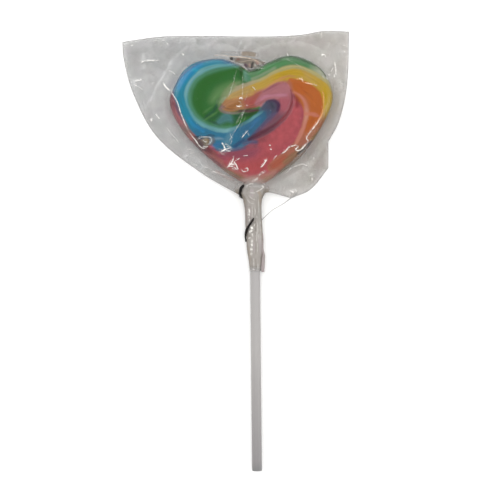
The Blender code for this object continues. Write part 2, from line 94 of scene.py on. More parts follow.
# The folded rope of coloured sugar, painted in this order over the red.
# Each stroke: one colour or a colour for each station, the softness of its edge, its strength, and its
# stations as (x, y, half width).
ROPE_STROKES_MM = [
    # crimson in the lower middle
    ("crimson", 2.0, 0.9, [
        (-11.2, -12.6, 0.9), (-7.8, -12.2, 1.4), (-3.7, -12.2, 1.7), (-1.0, -11.9, 1.6), (1.4, -10.9, 0.7),
    ]),
    # crimson fold at the lower left
    ("crimson", 1.0, 0.6, [(-12.4, -12.6, 0.4), (-11.2, -13.2, 0.5), (-9.7, -14.2, 0.5)]),
    # brighter red above the tip
    ("scarlet", 2.0, 0.7, [(-3.8, -16.6, 1.0), (-0.7, -16.7, 1.7), (2.4, -16.0, 1.7), (5.1, -14.0, 1.0)]),
    # lighter red in the right middle
    ("coral", 2.0, 0.6, [
        (5.5, -9.9, 1.4), (8.9, -7.2, 2.0), (12.0, -3.5, 2.0), (14.4, 1.2, 1.4), (14.4, 3.3, 0.7),
    ]),
    # light streak in it
    ("coral", 0.8, 0.6, [(14.6, 2.6, 0.2), (14.7, -0.1, 0.4), (14.2, -3.2, 0.3)]),
    # shade between it and the tail
    ("brown_red", 1.6, 0.6, [(1.1, -8.0, 0.7), (2.8, -7.2, 0.8), (4.5, -6.2, 0.5)]),
    # orange of the right lobe
    ("orange orange orange orange rust rust rust", 0.6, 1.0, [
        (13.0, 12.5, 1.1), (14.9, 10.7, 2.3), (17.2, 9.0, 3.1), (19.6, 7.1, 3.4), (20.8, 4.2, 2.9),
        (20.9, 1.7, 2.4), (20.2, -0.7, 2.1), (19.0, -3.2, 1.6), (17.7, -6.0, 1.2), (16.0, -9.0, 1.0),
        (13.6, -11.7, 1.2), (11.2, -13.7, 1.2), (8.5, -15.6, 1.2), (6.4, -16.7, 0.8),
    ]),
    # its upper corner
    ("orange", 0.6, 1.0, [(16.6, 11.4, 1.2), (19.3, 10.4, 1.3), (21.8, 8.9, 1.6)]),
    # darker heart of the orange
    ("burnt", 1.2, 0.6, [(14.5, 11.1, 0.7), (16.2, 9.9, 1.2), (17.2, 8.3, 0.7)]),
    # darker orange below the fork
    ("burnt", 1.0, 0.7, [(19.9, -0.4, 1.0), (19.0, -2.2, 1.0), (17.9, -4.3, 0.7)]),
    # duller side of the orange
    ("rust", 0.9, 0.4, [(17.0, 7.5, 0.3), (18.5, 5.3, 0.5), (19.0, 2.5, 0.3)]),
    # red orange at its foot
    ("ember", 1.0, 0.8, [(10.9, -13.4, 0.7), (8.5, -15.0, 1.1), (6.4, -16.4, 0.9)]),
    # yellow between the orange and the green, down the right rim
    ("honey yellow yellow gold yellow yellow gold gold mustard mustard", 0.6, 1.0, [
        (-3.5, 8.9, 1.0), (-1.1, 10.0, 1.2), (0.9, 10.6, 1.3), (3.0, 11.4, 1.4), (5.0, 12.4, 1.4),
        (7.1, 13.5, 1.6), (9.5, 14.3, 1.6), (12.2, 15.0, 1.4), (14.9, 15.1, 1.5), (17.3, 14.5, 1.7),
        (19.6, 13.3, 1.8), (21.8, 11.9, 1.8), (23.7, 10.1, 1.8), (25.0, 7.9, 1.8), (25.3, 5.4, 1.7),
        (25.1, 2.8, 1.5), (24.2, 0.4, 1.3), (22.9, -1.9, 1.1), (21.2, -4.3, 1.0), (19.5, -6.3, 0.7),
    ]),
    # gold core of it
    ("gold", 0.8, 0.8, [
        (7.8, 14.1, 0.5), (10.5, 15.0, 0.8), (13.5, 15.2, 1.0), (16.3, 15.0, 0.8), (17.6, 14.4, 0.3),
    ]),
    # honey at its crest
    ("honey", 1.0, 0.5, [(17.0, 15.8, 0.3), (18.3, 14.4, 0.7), (19.5, 13.1, 0.5)]),
    # gold core at the right rim
    ("gold", 0.8, 0.85, [
        (24.4, 10.0, 0.3), (25.5, 7.6, 0.6), (26.0, 5.5, 0.7), (25.5, 3.2, 0.6), (24.5, 0.8, 0.3),
    ]),
    # orange thread under the yellow
    ("amber", 0.5, 0.85, [
        (0.9, 8.9, 0.3), (3.3, 9.9, 0.3), (5.7, 11.2, 0.4), (8.1, 12.6, 0.4), (10.1, 13.6, 0.5),
        (12.2, 14.2, 0.4), (14.2, 14.0, 0.2),
    ]),
    # cream line
    ("sage tan buff buff cream cream cream cream cream olive_tan", 0.6, 1.0, [
        (-11.6, 4.5, 0.4), (-10.2, 6.4, 0.5), (-8.6, 8.2, 0.6), (-7.3, 9.3, 0.6), (-5.9, 9.7, 0.7),
        (-4.2, 10.7, 0.7), (-2.3, 11.4, 0.6), (-0.4, 12.2, 0.6), (1.6, 12.7, 0.5), (3.5, 13.4, 0.5),
        (5.4, 14.5, 0.5), (7.4, 15.7, 0.6), (9.8, 16.6, 0.6), (12.2, 17.2, 0.6), (14.9, 17.4, 0.6),
        (17.3, 16.9, 0.6), (19.7, 15.7, 0.6), (22.0, 14.4, 0.6), (23.9, 13.1, 0.5), (25.4, 11.9, 0.4),
        (26.5, 9.9, 0.3),
    ]),
    # green rim of the right lobe
    ("leaf_green leaf_green leaf_green leaf_green leaf_green leaf_green grey_green grey_green", 0.6, 1.0, [
        (-2.4, 14.1, 1.6), (-0.6, 14.6, 1.6), (1.3, 15.4, 1.7), (3.4, 16.4, 1.9), (5.7, 17.6, 1.9),
        (8.5, 18.7, 1.8), (11.2, 19.3, 1.6), (14.3, 19.4, 1.5), (17.0, 18.8, 1.3), (19.7, 17.6, 1.1),
        (21.9, 16.3, 0.9), (23.6, 15.0, 0.7), (25.1, 13.4, 0.5),
    ]),
    # teal patch beside the notch
    ("jade", 0.8, 0.8, [(-2.9, 16.0, 0.4), (-2.3, 14.5, 1.0), (-1.4, 13.3, 0.7)]),
    # light streak in it
    ("mint", 0.7, 0.7, [
        (1.6, 15.1, 0.3), (3.7, 16.5, 0.5), (6.1, 17.7, 0.7), (8.8, 18.3, 0.5), (11.2, 18.6, 0.3),
    ]),
    # light lower edge of it
    ("grey_green", 0.8, 0.6, [(-0.4, 13.3, 0.3), (2.3, 14.3, 0.3), (4.7, 15.5, 0.3), (7.4, 16.9, 0.3)]),
    # dark streak beside the notch
    ("dark_leaf", 0.5, 0.8, [(-1.6, 16.0, 0.3), (0.3, 16.1, 0.4), (2.2, 16.5, 0.2)]),
    # dark core of the rim
    ("dark_leaf", 0.8, 0.7, [(5.8, 18.7, 0.3), (7.8, 19.3, 0.5), (9.5, 19.6, 0.3)]),
    # dark outer edge of it, painted shade at the rim
    ("dark_leaf", 0.5, 0.85, [
        (0.3, 17.5, 0.3), (2.4, 17.9, 0.4), (4.7, 19.0, 0.5), (6.8, 19.8, 0.5), (8.8, 20.3, 0.5),
        (11.2, 20.7, 0.3), (13.9, 20.7, 0.4), (16.3, 20.0, 0.4), (18.7, 18.9, 0.3), (21.0, 17.6, 0.2),
        (23.1, 16.3, 0.2), (25.1, 13.9, 0.3),
    ]),
    # shade under that edge
    ("leaf_shade", 1.0, 0.6, [(11.2, 20.1, 0.3), (13.9, 19.9, 0.5), (16.6, 19.2, 0.5), (19.0, 18.2, 0.4)]),
    # olive fringe of the right rim, painted shade
    ("olive_brown", 0.6, 0.8, [
        (26.9, 8.6, 0.1), (27.3, 6.2, 0.3), (26.8, 3.5, 0.3), (25.9, 0.8, 0.4), (24.6, -1.6, 0.5),
        (22.9, -4.0, 0.5), (21.0, -6.2, 0.5), (19.4, -7.7, 0.3),
    ]),
    # pale line between the red and the orange
    ("rose peach peach petal peach peach peach", 0.6, 0.95, [
        (13.8, 8.7, 0.3), (15.4, 7.8, 0.4), (16.7, 6.5, 0.5), (17.6, 4.9, 0.6), (18.0, 2.9, 0.7),
        (18.0, 0.8, 0.7), (17.5, -1.2, 0.7), (17.0, -3.1, 0.7), (16.2, -5.1, 0.7), (15.2, -7.1, 0.6),
        (14.2, -9.0, 0.4),
    ]),
    # its fork across the orange
    ("rose", 0.5, 0.9, [(17.8, 1.3, 0.7), (19.4, 1.2, 0.6), (20.9, 0.9, 0.7), (22.2, 0.5, 0.3)]),
    # orange red beside the pink
    ("rust", 0.9, 0.8, [(10.8, 12.6, 0.3), (12.3, 12.0, 0.5), (12.8, 10.4, 0.5), (13.1, 8.9, 0.3)]),
    # red start of the pink bend, over the hook's end
    ("rose_red", 0.8, 1.0, [(-2.7, 5.0, 1.1), (-1.2, 5.2, 2.0), (0.9, 6.0, 2.2), (2.9, 7.7, 1.4)]),
    # its redder middle
    ("scarlet", 1.0, 0.6, [(-0.8, 5.4, 0.6), (0.9, 5.8, 0.7)]),
    # pink bend
    ("mauve mauve mauve mauve mauve mauve pink pink mulberry mulberry mulberry mulberry", 0.7, 1.0, [
        (1.2, 4.9, 0.9), (2.5, 6.3, 1.2), (4.3, 7.8, 1.6), (6.7, 8.9, 1.8), (9.1, 9.3, 2.2),
        (10.9, 8.2, 2.0), (11.1, 5.7, 1.8), (10.2, 3.1, 1.7), (8.6, 0.8, 1.6), (6.4, -1.4, 1.5),
        (4.0, -3.3, 1.3), (1.4, -4.8, 1.0),
    ]),
    # dark upper edge of it
    ("rosewood rosewood rust", 0.6, 0.7, [
        (3.6, 9.1, 0.2), (5.8, 10.3, 0.3), (8.1, 11.3, 0.4), (10.1, 12.1, 0.3),
    ]),
    # lilac line in it
    ("lilac", 0.7, 0.8, [
        (2.7, 6.3, 0.4), (4.3, 7.3, 0.5), (6.3, 7.5, 0.3), (8.7, 7.7, 0.4), (11.1, 7.7, 0.4),
    ]),
    # heather between the tail and the pink
    ("plum heather heather heather violet", 1.0, 0.9, [
        (8.6, 4.3, 0.5), (8.0, 2.6, 0.5), (6.6, 1.1, 0.8), (4.9, -0.5, 0.9), (3.3, -2.2, 0.8),
        (1.1, -4.3, 0.8), (-1.3, -6.1, 0.5),
    ]),
    # green of the left lobe
    ("green green green green green green deep_green", 0.6, 1.0, [
        (-4.3, 13.0, 1.0), (-5.2, 15.0, 1.7), (-7.9, 15.2, 2.2), (-11.3, 14.1, 3.1), (-14.4, 12.0, 4.1),
        (-16.4, 9.3, 4.9), (-17.0, 6.5, 4.8), (-15.8, 3.6, 4.8), (-13.5, 1.2, 4.2), (-10.4, -0.1, 3.5),
        (-7.3, -0.1, 3.0), (-4.3, 0.6, 2.2), (-1.6, 1.4, 1.6), (0.8, 2.4, 0.9),
    ]),
    # its darker outer side
    ("deep_green", 1.2, 0.6, [
        (-5.1, 16.4, 0.5), (-8.2, 15.8, 0.7), (-12.0, 14.3, 1.2), (-15.2, 12.7, 1.4), (-17.3, 10.5, 1.5),
        (-18.1, 8.0, 1.5), (-18.3, 5.3, 1.4), (-17.9, 3.1, 1.0), (-16.5, 1.0, 0.7),
    ]),
    # light middle of it
    ("olive", 2.0, 0.9, [
        (-5.9, 12.3, 0.7), (-8.3, 11.0, 1.2), (-10.8, 9.5, 1.6), (-12.7, 7.6, 1.6), (-14.1, 5.9, 1.0),
    ]),
    # pale green along the cream line
    ("sage", 1.0, 0.8, [
        (-4.5, 12.1, 0.5), (-7.2, 10.7, 0.7), (-9.6, 8.5, 0.9), (-11.0, 6.1, 0.7), (-11.9, 4.5, 0.4),
    ]),
    # teal patch in its lower bend
    ("sea", 1.4, 0.9, [(-12.8, -2.1, 0.6), (-10.8, -0.6, 1.2), (-9.0, 0.3, 1.6), (-7.7, -0.6, 1.0)]),
    # dark green right of it
    ("bottle", 1.0, 0.6, [(-6.7, -1.0, 0.5), (-5.6, 0.4, 0.8), (-4.3, 1.1, 0.5)]),
    # dark streaks in its lower bend
    ("bottle", 0.6, 0.8, [(-16.7, -0.0, 0.3), (-15.3, 1.3, 0.6), (-13.6, 2.4, 0.5), (-12.6, 4.2, 0.5)]),
    # dark streak below
    ("bottle", 0.5, 0.85, [(-15.3, -0.7, 0.2), (-13.6, -1.5, 0.4), (-12.5, -2.1, 0.4), (-11.3, -2.9, 0.3)]),
    # dark streak beside the hook
    ("bottle", 0.6, 0.6, [(-15.2, -0.1, 0.2), (-13.1, 0.3, 0.4), (-11.4, 1.6, 0.4)]),
    # light streaks in the lower bend
    ("olive", 0.5, 0.6, [(-17.2, -0.9, 0.2), (-15.5, 0.2, 0.3), (-13.8, 1.2, 0.3), (-12.3, 2.2, 0.2)]),
    # light streak above them
    ("olive", 0.6, 0.5, [(-17.2, 2.0, 0.2), (-15.5, 3.0, 0.3), (-13.8, 4.0, 0.2)]),
    # dark green under the hook
    ("bottle dark_leaf dark_leaf", 0.6, 0.9, [
        (-6.3, 0.9, 0.3), (-3.9, 1.0, 0.5), (-1.6, 1.2, 0.7), (0.5, 1.8, 0.5),
    ]),
    # shade at the notch
    ("dark_leaf", 0.6, 0.8, [(-4.6, 17.4, 0.4), (-4.1, 16.0, 0.5), (-4.2, 14.5, 0.3)]),
    # jade between the teal line and the green
    ("jade", 1.0, 0.9, [
        (-5.1, 17.6, 0.3), (-7.9, 17.4, 0.5), (-10.9, 17.0, 0.7), (-13.6, 16.4, 0.8), (-16.0, 15.4, 0.7),
        (-18.2, 14.0, 0.7), (-20.0, 12.2, 0.7), (-21.2, 10.0, 0.7), (-21.6, 7.4, 0.7), (-21.4, 4.7, 0.7),
        (-20.6, 2.4, 0.7), (-19.2, 0.5, 0.8), (-17.4, -1.1, 0.8), (-15.2, -2.4, 0.8), (-12.6, -3.1, 0.7),
        (-10.1, -3.3, 0.7), (-7.7, -3.0, 0.5),
    ]),
    # teal line
    ("teal teal teal ice ice teal teal teal teal ice sea teal sea", 0.6, 1.0, [
        (-5.8, 18.6, 0.3), (-8.2, 18.4, 0.5), (-10.9, 18.1, 0.6), (-13.5, 17.7, 0.7), (-15.7, 17.1, 0.7),
        (-17.7, 16.1, 0.8), (-19.8, 14.8, 0.8), (-21.3, 13.3, 0.8), (-22.4, 11.3, 0.7), (-23.0, 9.1, 0.7),
        (-23.1, 6.9, 0.6), (-22.8, 4.6, 0.6), (-22.0, 2.5, 0.7), (-20.9, 0.5, 0.7), (-19.3, -0.9, 0.8),
        (-17.6, -2.1, 0.9), (-15.5, -3.2, 0.8), (-13.2, -3.9, 0.7), (-10.6, -4.2, 0.6), (-8.1, -4.1, 0.6),
        (-5.7, -3.3, 0.6), (-3.5, -2.3, 0.5), (-1.4, -1.0, 0.5), (0.5, 0.3, 0.6), (2.1, 1.4, 0.4),
        (3.2, 2.4, 0.2),
    ]),
    # blue outer band, which turns under and runs up to the middle as a tail
    ("dusk sky sky sky sky sky sky sky blue blue blue blue cobalt cobalt cobalt head", 0.6, 1.0, [
        (-6.1, 18.9, 0.3), (-8.5, 19.1, 0.6), (-11.2, 19.3, 0.8), (-14.0, 19.2, 1.0), (-16.3, 18.7, 1.1),
        (-18.4, 17.9, 1.2), (-20.3, 16.5, 1.4), (-22.2, 14.8, 1.6), (-23.7, 13.0, 1.7), (-24.8, 10.8, 1.8),
        (-25.3, 8.4, 1.8), (-24.9, 6.4, 1.6), (-24.0, 4.1, 1.3), (-23.1, 2.1, 1.3), (-22.3, 0.2, 1.3),
        (-21.4, -1.3, 1.5), (-20.1, -3.0, 1.7), (-18.4, -4.3, 1.7), (-16.4, -4.7, 1.4), (-14.7, -5.0, 0.9),
        (-12.5, -6.2, 1.4), (-10.8, -7.8, 2.4), (-8.4, -7.7, 2.7), (-6.1, -7.0, 2.9), (-3.8, -5.6, 2.7),
        (-2.0, -4.1, 2.0), (-0.2, -2.6, 1.7), (1.3, -1.3, 1.5), (2.8, -0.0, 1.2), (4.0, 1.1, 1.1),
        (5.0, 2.5, 1.2), (6.0, 3.7, 1.2),
    ]),
    # bright sky in the upper left
    ("azure", 1.0, 0.75, [
        (-17.6, 18.4, 0.5), (-20.0, 17.0, 0.9), (-22.4, 15.0, 1.2), (-24.4, 12.8, 1.1), (-25.4, 10.4, 0.7),
    ]),
    # turquoise gleam in it
    ("turquoise", 0.6, 0.8, [(-20.4, 16.5, 0.4), (-19.3, 16.5, 0.4)]),
    # deep blue under the left lobe
    ("azure", 0.8, 0.6, [(-21.8, 0.0, 0.4), (-20.6, -2.0, 0.6), (-19.1, -3.0, 0.5), (-17.2, -4.3, 0.5)]),
    # its dark outer edge, painted shade at the rim
    ("dusk", 0.45, 0.7, [
        (-6.5, 19.1, 0.2), (-8.9, 19.7, 0.2), (-11.6, 20.1, 0.2), (-14.3, 20.0, 0.2), (-16.7, 19.5, 0.25),
        (-19.1, 18.5, 0.25), (-21.3, 17.2, 0.25), (-23.5, 15.4, 0.25), (-25.4, 13.2, 0.25),
        (-26.7, 10.8, 0.25), (-27.3, 8.6, 0.25),
    ]),
    # its deep lower side
    ("deep_blue", 1.0, 0.85, [(-6.2, -9.7, 0.7), (-4.9, -8.4, 0.6), (-3.5, -7.4, 0.5)]),
    # cobalt at its lower left
    ("bright_cobalt", 0.9, 0.8, [(-14.1, -9.2, 0.4), (-12.7, -9.1, 0.7), (-11.5, -8.6, 0.4)]),
    # slate over the end of the violet
    ("violet", 0.9, 0.85, [(-3.3, -8.7, 0.7), (-1.6, -8.1, 1.0), (0.6, -8.1, 0.8)]),
    # mauve under it
    ("mulberry", 0.8, 0.7, [(-3.0, -10.0, 0.3), (-1.3, -9.8, 0.5), (0.9, -9.6, 0.5)]),
    # violet edge under the blue
    ("violet", 0.7, 0.75, [
        (-14.2, -10.2, 0.2), (-12.5, -10.7, 0.3), (-10.5, -10.9, 0.3), (-7.8, -10.9, 0.3),
        (-5.4, -10.7, 0.4), (-3.0, -10.3, 0.3),
    ]),
    # fan of light blue
    ("steel", 1.2, 0.75, [(-7.4, -4.3, 0.5), (-8.4, -6.5, 1.0), (-9.3, -8.8, 1.4)]),
    # pale blue pucker
    ("mist", 0.7, 0.7, [(-13.4, -6.9, 0.3), (-11.8, -6.8, 0.4), (-10.5, -7.0, 0.2)]),
    # light streak in the tail
    ("bright_cobalt", 0.8, 0.7, [(-0.9, -3.2, 0.3), (0.5, -1.4, 0.6), (2.0, 0.0, 0.3)]),
    # slate end of the tail
    ("head heather", 1.0, 0.7, [(4.8, 2.5, 0.5), (4.9, 0.6, 0.5)]),
    # dark teal over the tail
    ("dark_teal", 0.7, 0.85, [(2.0, 2.6, 0.3), (3.2, 3.4, 0.5), (4.3, 4.3, 0.4)]),
    # dark head of the tail
    ("head navy navy navy", 0.8, 1.0, [(4.6, 3.4, 0.7), (6.0, 4.0, 1.1), (7.0, 4.0, 1.1), (6.8, 2.9, 1.0)]),
    # its darkest part
    ("ink", 0.7, 0.8, [(6.1, 4.9, 0.3), (6.6, 3.7, 0.4)]),
    # plum arc over the head
    ("plum", 0.6, 0.85, [
        (5.4, 5.6, 0.2), (6.8, 5.9, 0.3), (8.0, 5.2, 0.4), (8.5, 4.0, 0.5), (8.2, 2.5, 0.4),
    ]),
    # orange hook in the middle
    ("blush ochre ochre ochre rose_red", 0.7, 1.0, [
        (-10.7, 3.8, 0.8), (-9.0, 4.0, 1.7), (-7.0, 4.4, 2.2), (-4.7, 5.1, 2.0), (-2.9, 5.5, 1.3),
    ]),
    # darker orange in it
    ("umber_orange", 0.8, 0.75, [(-9.0, 3.5, 0.3), (-7.5, 3.7, 0.8), (-5.9, 4.6, 0.7), (-4.4, 5.3, 0.5)]),
    # honey above it
    ("honey", 0.8, 1.0, [(-7.8, 7.2, 0.5), (-5.9, 8.0, 0.8), (-3.9, 8.5, 1.0), (-1.8, 9.0, 1.1)]),
    # orange where the honey meets the red
    ("amber", 0.7, 0.8, [
        (-6.9, 6.4, 0.3), (-4.6, 7.2, 0.4), (-2.2, 7.6, 0.4), (-0.5, 8.2, 0.5), (0.9, 8.8, 0.2),
    ]),
    # pink fringe under it
    ("blush", 0.6, 0.8, [
        (-11.6, 3.2, 0.3), (-10.4, 2.3, 0.4), (-8.3, 1.8, 0.3), (-6.0, 1.8, 0.3), (-4.4, 2.2, 0.2),
    ]),
    # shade under the hook
    ("umber_red", 0.6, 0.95, [
        (-5.1, 2.3, 0.2), (-3.2, 2.4, 0.4), (-1.5, 2.4, 0.6), (0.2, 2.5, 0.5), (1.5, 2.6, 0.3),
    ]),
    # shade in the seam beside the tail
    ("wine wine wine wine maroon maroon plum", 0.6, 0.95, [
        (12.6, 9.4, 0.1), (13.0, 7.7, 0.3), (13.1, 5.7, 0.4), (12.9, 4.0, 0.5), (12.1, 2.3, 0.5),
        (11.0, 0.7, 0.6), (9.9, -0.6, 0.6), (8.3, -1.9, 0.6), (6.4, -3.3, 0.7), (4.3, -4.6, 0.9),
        (2.1, -5.6, 0.9), (0.1, -6.5, 0.9), (-1.6, -7.3, 0.6),
    ]),
    # deep red beyond it
    ("wine", 0.9, 0.8, [(13.8, 7.5, 0.4), (14.9, 5.8, 0.7), (14.8, 3.9, 0.5)]),
    # red edge beside the peach line
    ("crimson", 0.7, 0.4, [(15.8, 4.9, 0.3), (16.5, 2.6, 0.3), (16.7, -0.2, 0.3), (16.1, -3.2, 0.3)]),
    # red strip outside the blue
    ("rosewood rosewood dusty_rose dusty_rose taupe brick brown_red brown_red brick", 0.6, 1.0, [
        (-28.2, 8.1, 0.3), (-28.0, 6.1, 0.6), (-27.7, 4.3, 0.7), (-27.0, 2.3, 0.8), (-26.2, 0.4, 0.9),
        (-25.0, -1.5, 0.9), (-23.8, -3.2, 0.9), (-22.5, -4.8, 0.8), (-21.4, -6.6, 0.7), (-20.3, -8.5, 0.9),
        (-18.7, -10.0, 1.0), (-16.6, -11.4, 1.0), (-14.6, -12.9, 1.0), (-12.2, -14.8, 0.8),
    ]),
    # dark line beside it
    ("heather", 0.4, 0.8, [(-26.6, 4.8, 0.2), (-25.8, 2.8, 0.3), (-24.8, 0.9, 0.3), (-24.0, -0.7, 0.2)]),
    # crumple at its foot
    ("umber_grey", 1.0, 0.95, [
        (-19.8, -7.1, 0.7), (-18.0, -8.3, 1.4), (-15.9, -8.1, 1.5), (-14.4, -7.5, 1.1),
    ]),
    # purple brown in it
    ("prune", 0.8, 0.8, [(-19.7, -7.6, 0.5), (-18.3, -8.5, 0.6), (-17.3, -9.4, 0.3)]),
    # sandy puckers in it
    ("sand", 0.7, 0.8, [(-17.1, -7.5, 0.4), (-16.3, -7.3, 0.7), (-16.3, -8.7, 0.5)]),
    # olive spot in it
    ("olive_brown", 0.6, 0.7, [(-15.8, -7.2, 0.2), (-15.7, -8.0, 0.2)]),
    # pale puckers in it
    ("mist", 0.6, 0.75, [(-14.9, -6.5, 0.3), (-14.4, -7.4, 0.4), (-15.0, -8.6, 0.3)]),
    # dark line over the crumple
    ("ink", 0.4, 0.8, [
        (-20.2, -6.1, 0.2), (-18.6, -6.4, 0.2), (-17.3, -6.6, 0.2), (-16.0, -6.0, 0.2), (-15.0, -5.6, 0.2),
        (-13.5, -6.0, 0.2),
    ]),
    # painted shade on the dark side of the crumple
    ("prune", 0.7, 0.8, [(-21.2, -7.6, 0.3), (-20.2, -9.3, 0.5), (-18.5, -10.5, 0.5), (-16.6, -10.7, 0.3)]),
    # pink edge of the red, lower left
    ("brick", 0.8, 0.75, [
        (-17.3, -11.3, 0.3), (-15.3, -12.4, 0.4), (-13.1, -13.4, 0.5), (-11.2, -14.9, 0.5),
        (-9.9, -16.2, 0.4),
    ]),
    # brown fringe below it
    ("brown_red", 0.7, 0.8, [(-14.4, -13.6, 0.3), (-12.6, -15.0, 0.4), (-10.9, -16.5, 0.4)]),
    # brownish band above that rim
    ("clay", 1.4, 0.65, [(-9.8, -16.3, 0.3), (-6.4, -18.2, 0.6), (-3.2, -19.6, 0.6)]),
    # brown rim, lower left, painted shade and reflection of the tented film
    ("brown", 0.8, 0.9, [
        (-10.6, -17.2, 0.5), (-8.5, -18.4, 0.7), (-6.2, -19.6, 0.8), (-4.1, -20.6, 0.7),
        (-2.5, -21.6, 0.5),
    ]),
    # sandy spot on it
    ("sand", 0.8, 0.6, [(-9.2, -18.1, 0.3), (-7.5, -18.8, 0.4)]),
    # brown tip over the stick
    ("clay", 1.0, 0.9, [
        (-3.8, -21.4, 0.7), (-1.4, -21.3, 1.3), (1.3, -20.9, 1.6), (4.4, -20.1, 1.3), (7.1, -18.6, 0.8),
    ]),
    # browner spots at the tip
    ("brown_spots", 1.0, 0.7, [(2.3, -22.0, 0.4), (4.0, -21.0, 0.8), (5.7, -20.1, 0.5)]),
    # brown lower end of the orange, painted shade on the rim
    ("brown", 1.0, 0.8, [(16.2, -10.0, 0.4), (14.6, -12.0, 1.0), (12.6, -13.7, 1.2), (10.5, -15.2, 0.7)]),
    # olive rim, lower right, painted shade
    ("olive_grey", 0.8, 0.95, [
        (17.7, -10.9, 0.3), (16.0, -12.7, 0.4), (13.8, -14.9, 0.5), (11.5, -16.8, 0.7), (9.5, -18.3, 0.7),
        (7.6, -20.0, 0.6), (5.9, -21.5, 0.3),
    ]),
    # black line at the lower right, painted shade under the rim
    ("rim_shade_line", 0.4, 0.95, [
        (19.8, -7.9, 0.2), (18.7, -9.1, 0.4), (17.7, -10.3, 0.3), (16.5, -11.3, 0.4), (15.5, -12.0, 0.3),
        (14.6, -12.4, 0.2),
    ]),
]

# Neck of the bag, as (y, left x, right x, half height). The first ones are inside the pouch.
NECK_STATIONS_MM = [
    (-22.4, -5.4, 4.0, 2.4), (-23.9, -5.6, 3.9, 2.6), (-25.4, -5.3, 3.7, 2.7), (-26.5, -4.35, 3.15, 2.7),
    (-27.5, -3.9, 2.7, 2.65), (-28.6, -3.7, 2.5, 2.6), (-30.6, -3.36, 2.36, 2.6), (-33.0, -3.2, 2.42, 2.6),
    (-36.5, -3.15, 2.6, 2.65), (-39.2, -2.95, 2.75, 2.7), (-41.4, -2.8, 2.8, 2.7),
    (-43.4, -2.8, 2.8, 2.65), (-45.5, -2.6, 2.75, 2.55), (-48.9, -2.08, 2.4, 2.4),
    (-52.2, -1.88, 1.92, 2.15),
]
NECK_SHOWS_BELOW_MM = -26.0
LOOSE_END_STATIONS_MM = [
    (-37.0, 1.9, 0.4, 0.4), (-42.0, 2.4, 0.6, 0.9), (-47.0, 2.6, 0.65, 1.1), (-51.0, 2.6, 0.7, 1.0),
    (-52.4, 2.6, 0.45, 0.6),
]
# Finer faces below each y, within so far of the neck's middle
NECK_FINER_MM = ((-21.5, 8.0), (-25.0, math.inf))
NECK_MIDDLE_MM = -1.0
STRAND_MM = [(2.2, -34.9), (6.0, -31.5), (10.2, -29.0), (14.6, -25.6)]
# The tie, as (y, degrees round the neck from +X over the top, half thickness)
TIE_STATIONS = [
    (-22.8, 121.0, 0.4), (-23.9, 132.0, 0.5), (-25.1, 141.0, 0.5), (-25.9, 152.0, 0.44),
    (-26.4, 172.0, 0.38), (-26.8, 200.0, 0.36), (-27.6, 225.0, 0.38), (-31.0, 238.0, 0.4),
    (-36.0, 240.0, 0.4), (-40.0, 228.0, 0.36), (-41.6, 207.0, 0.24), (-41.9, 190.0, 0.2),
    (-41.1, 178.0, 0.24), (-40.1, 163.0, 0.34), (-38.9, 149.0, 0.41), (-37.7, 136.0, 0.4),
    (-36.0, 111.0, 0.4), (-34.0, 87.0, 0.38),
]
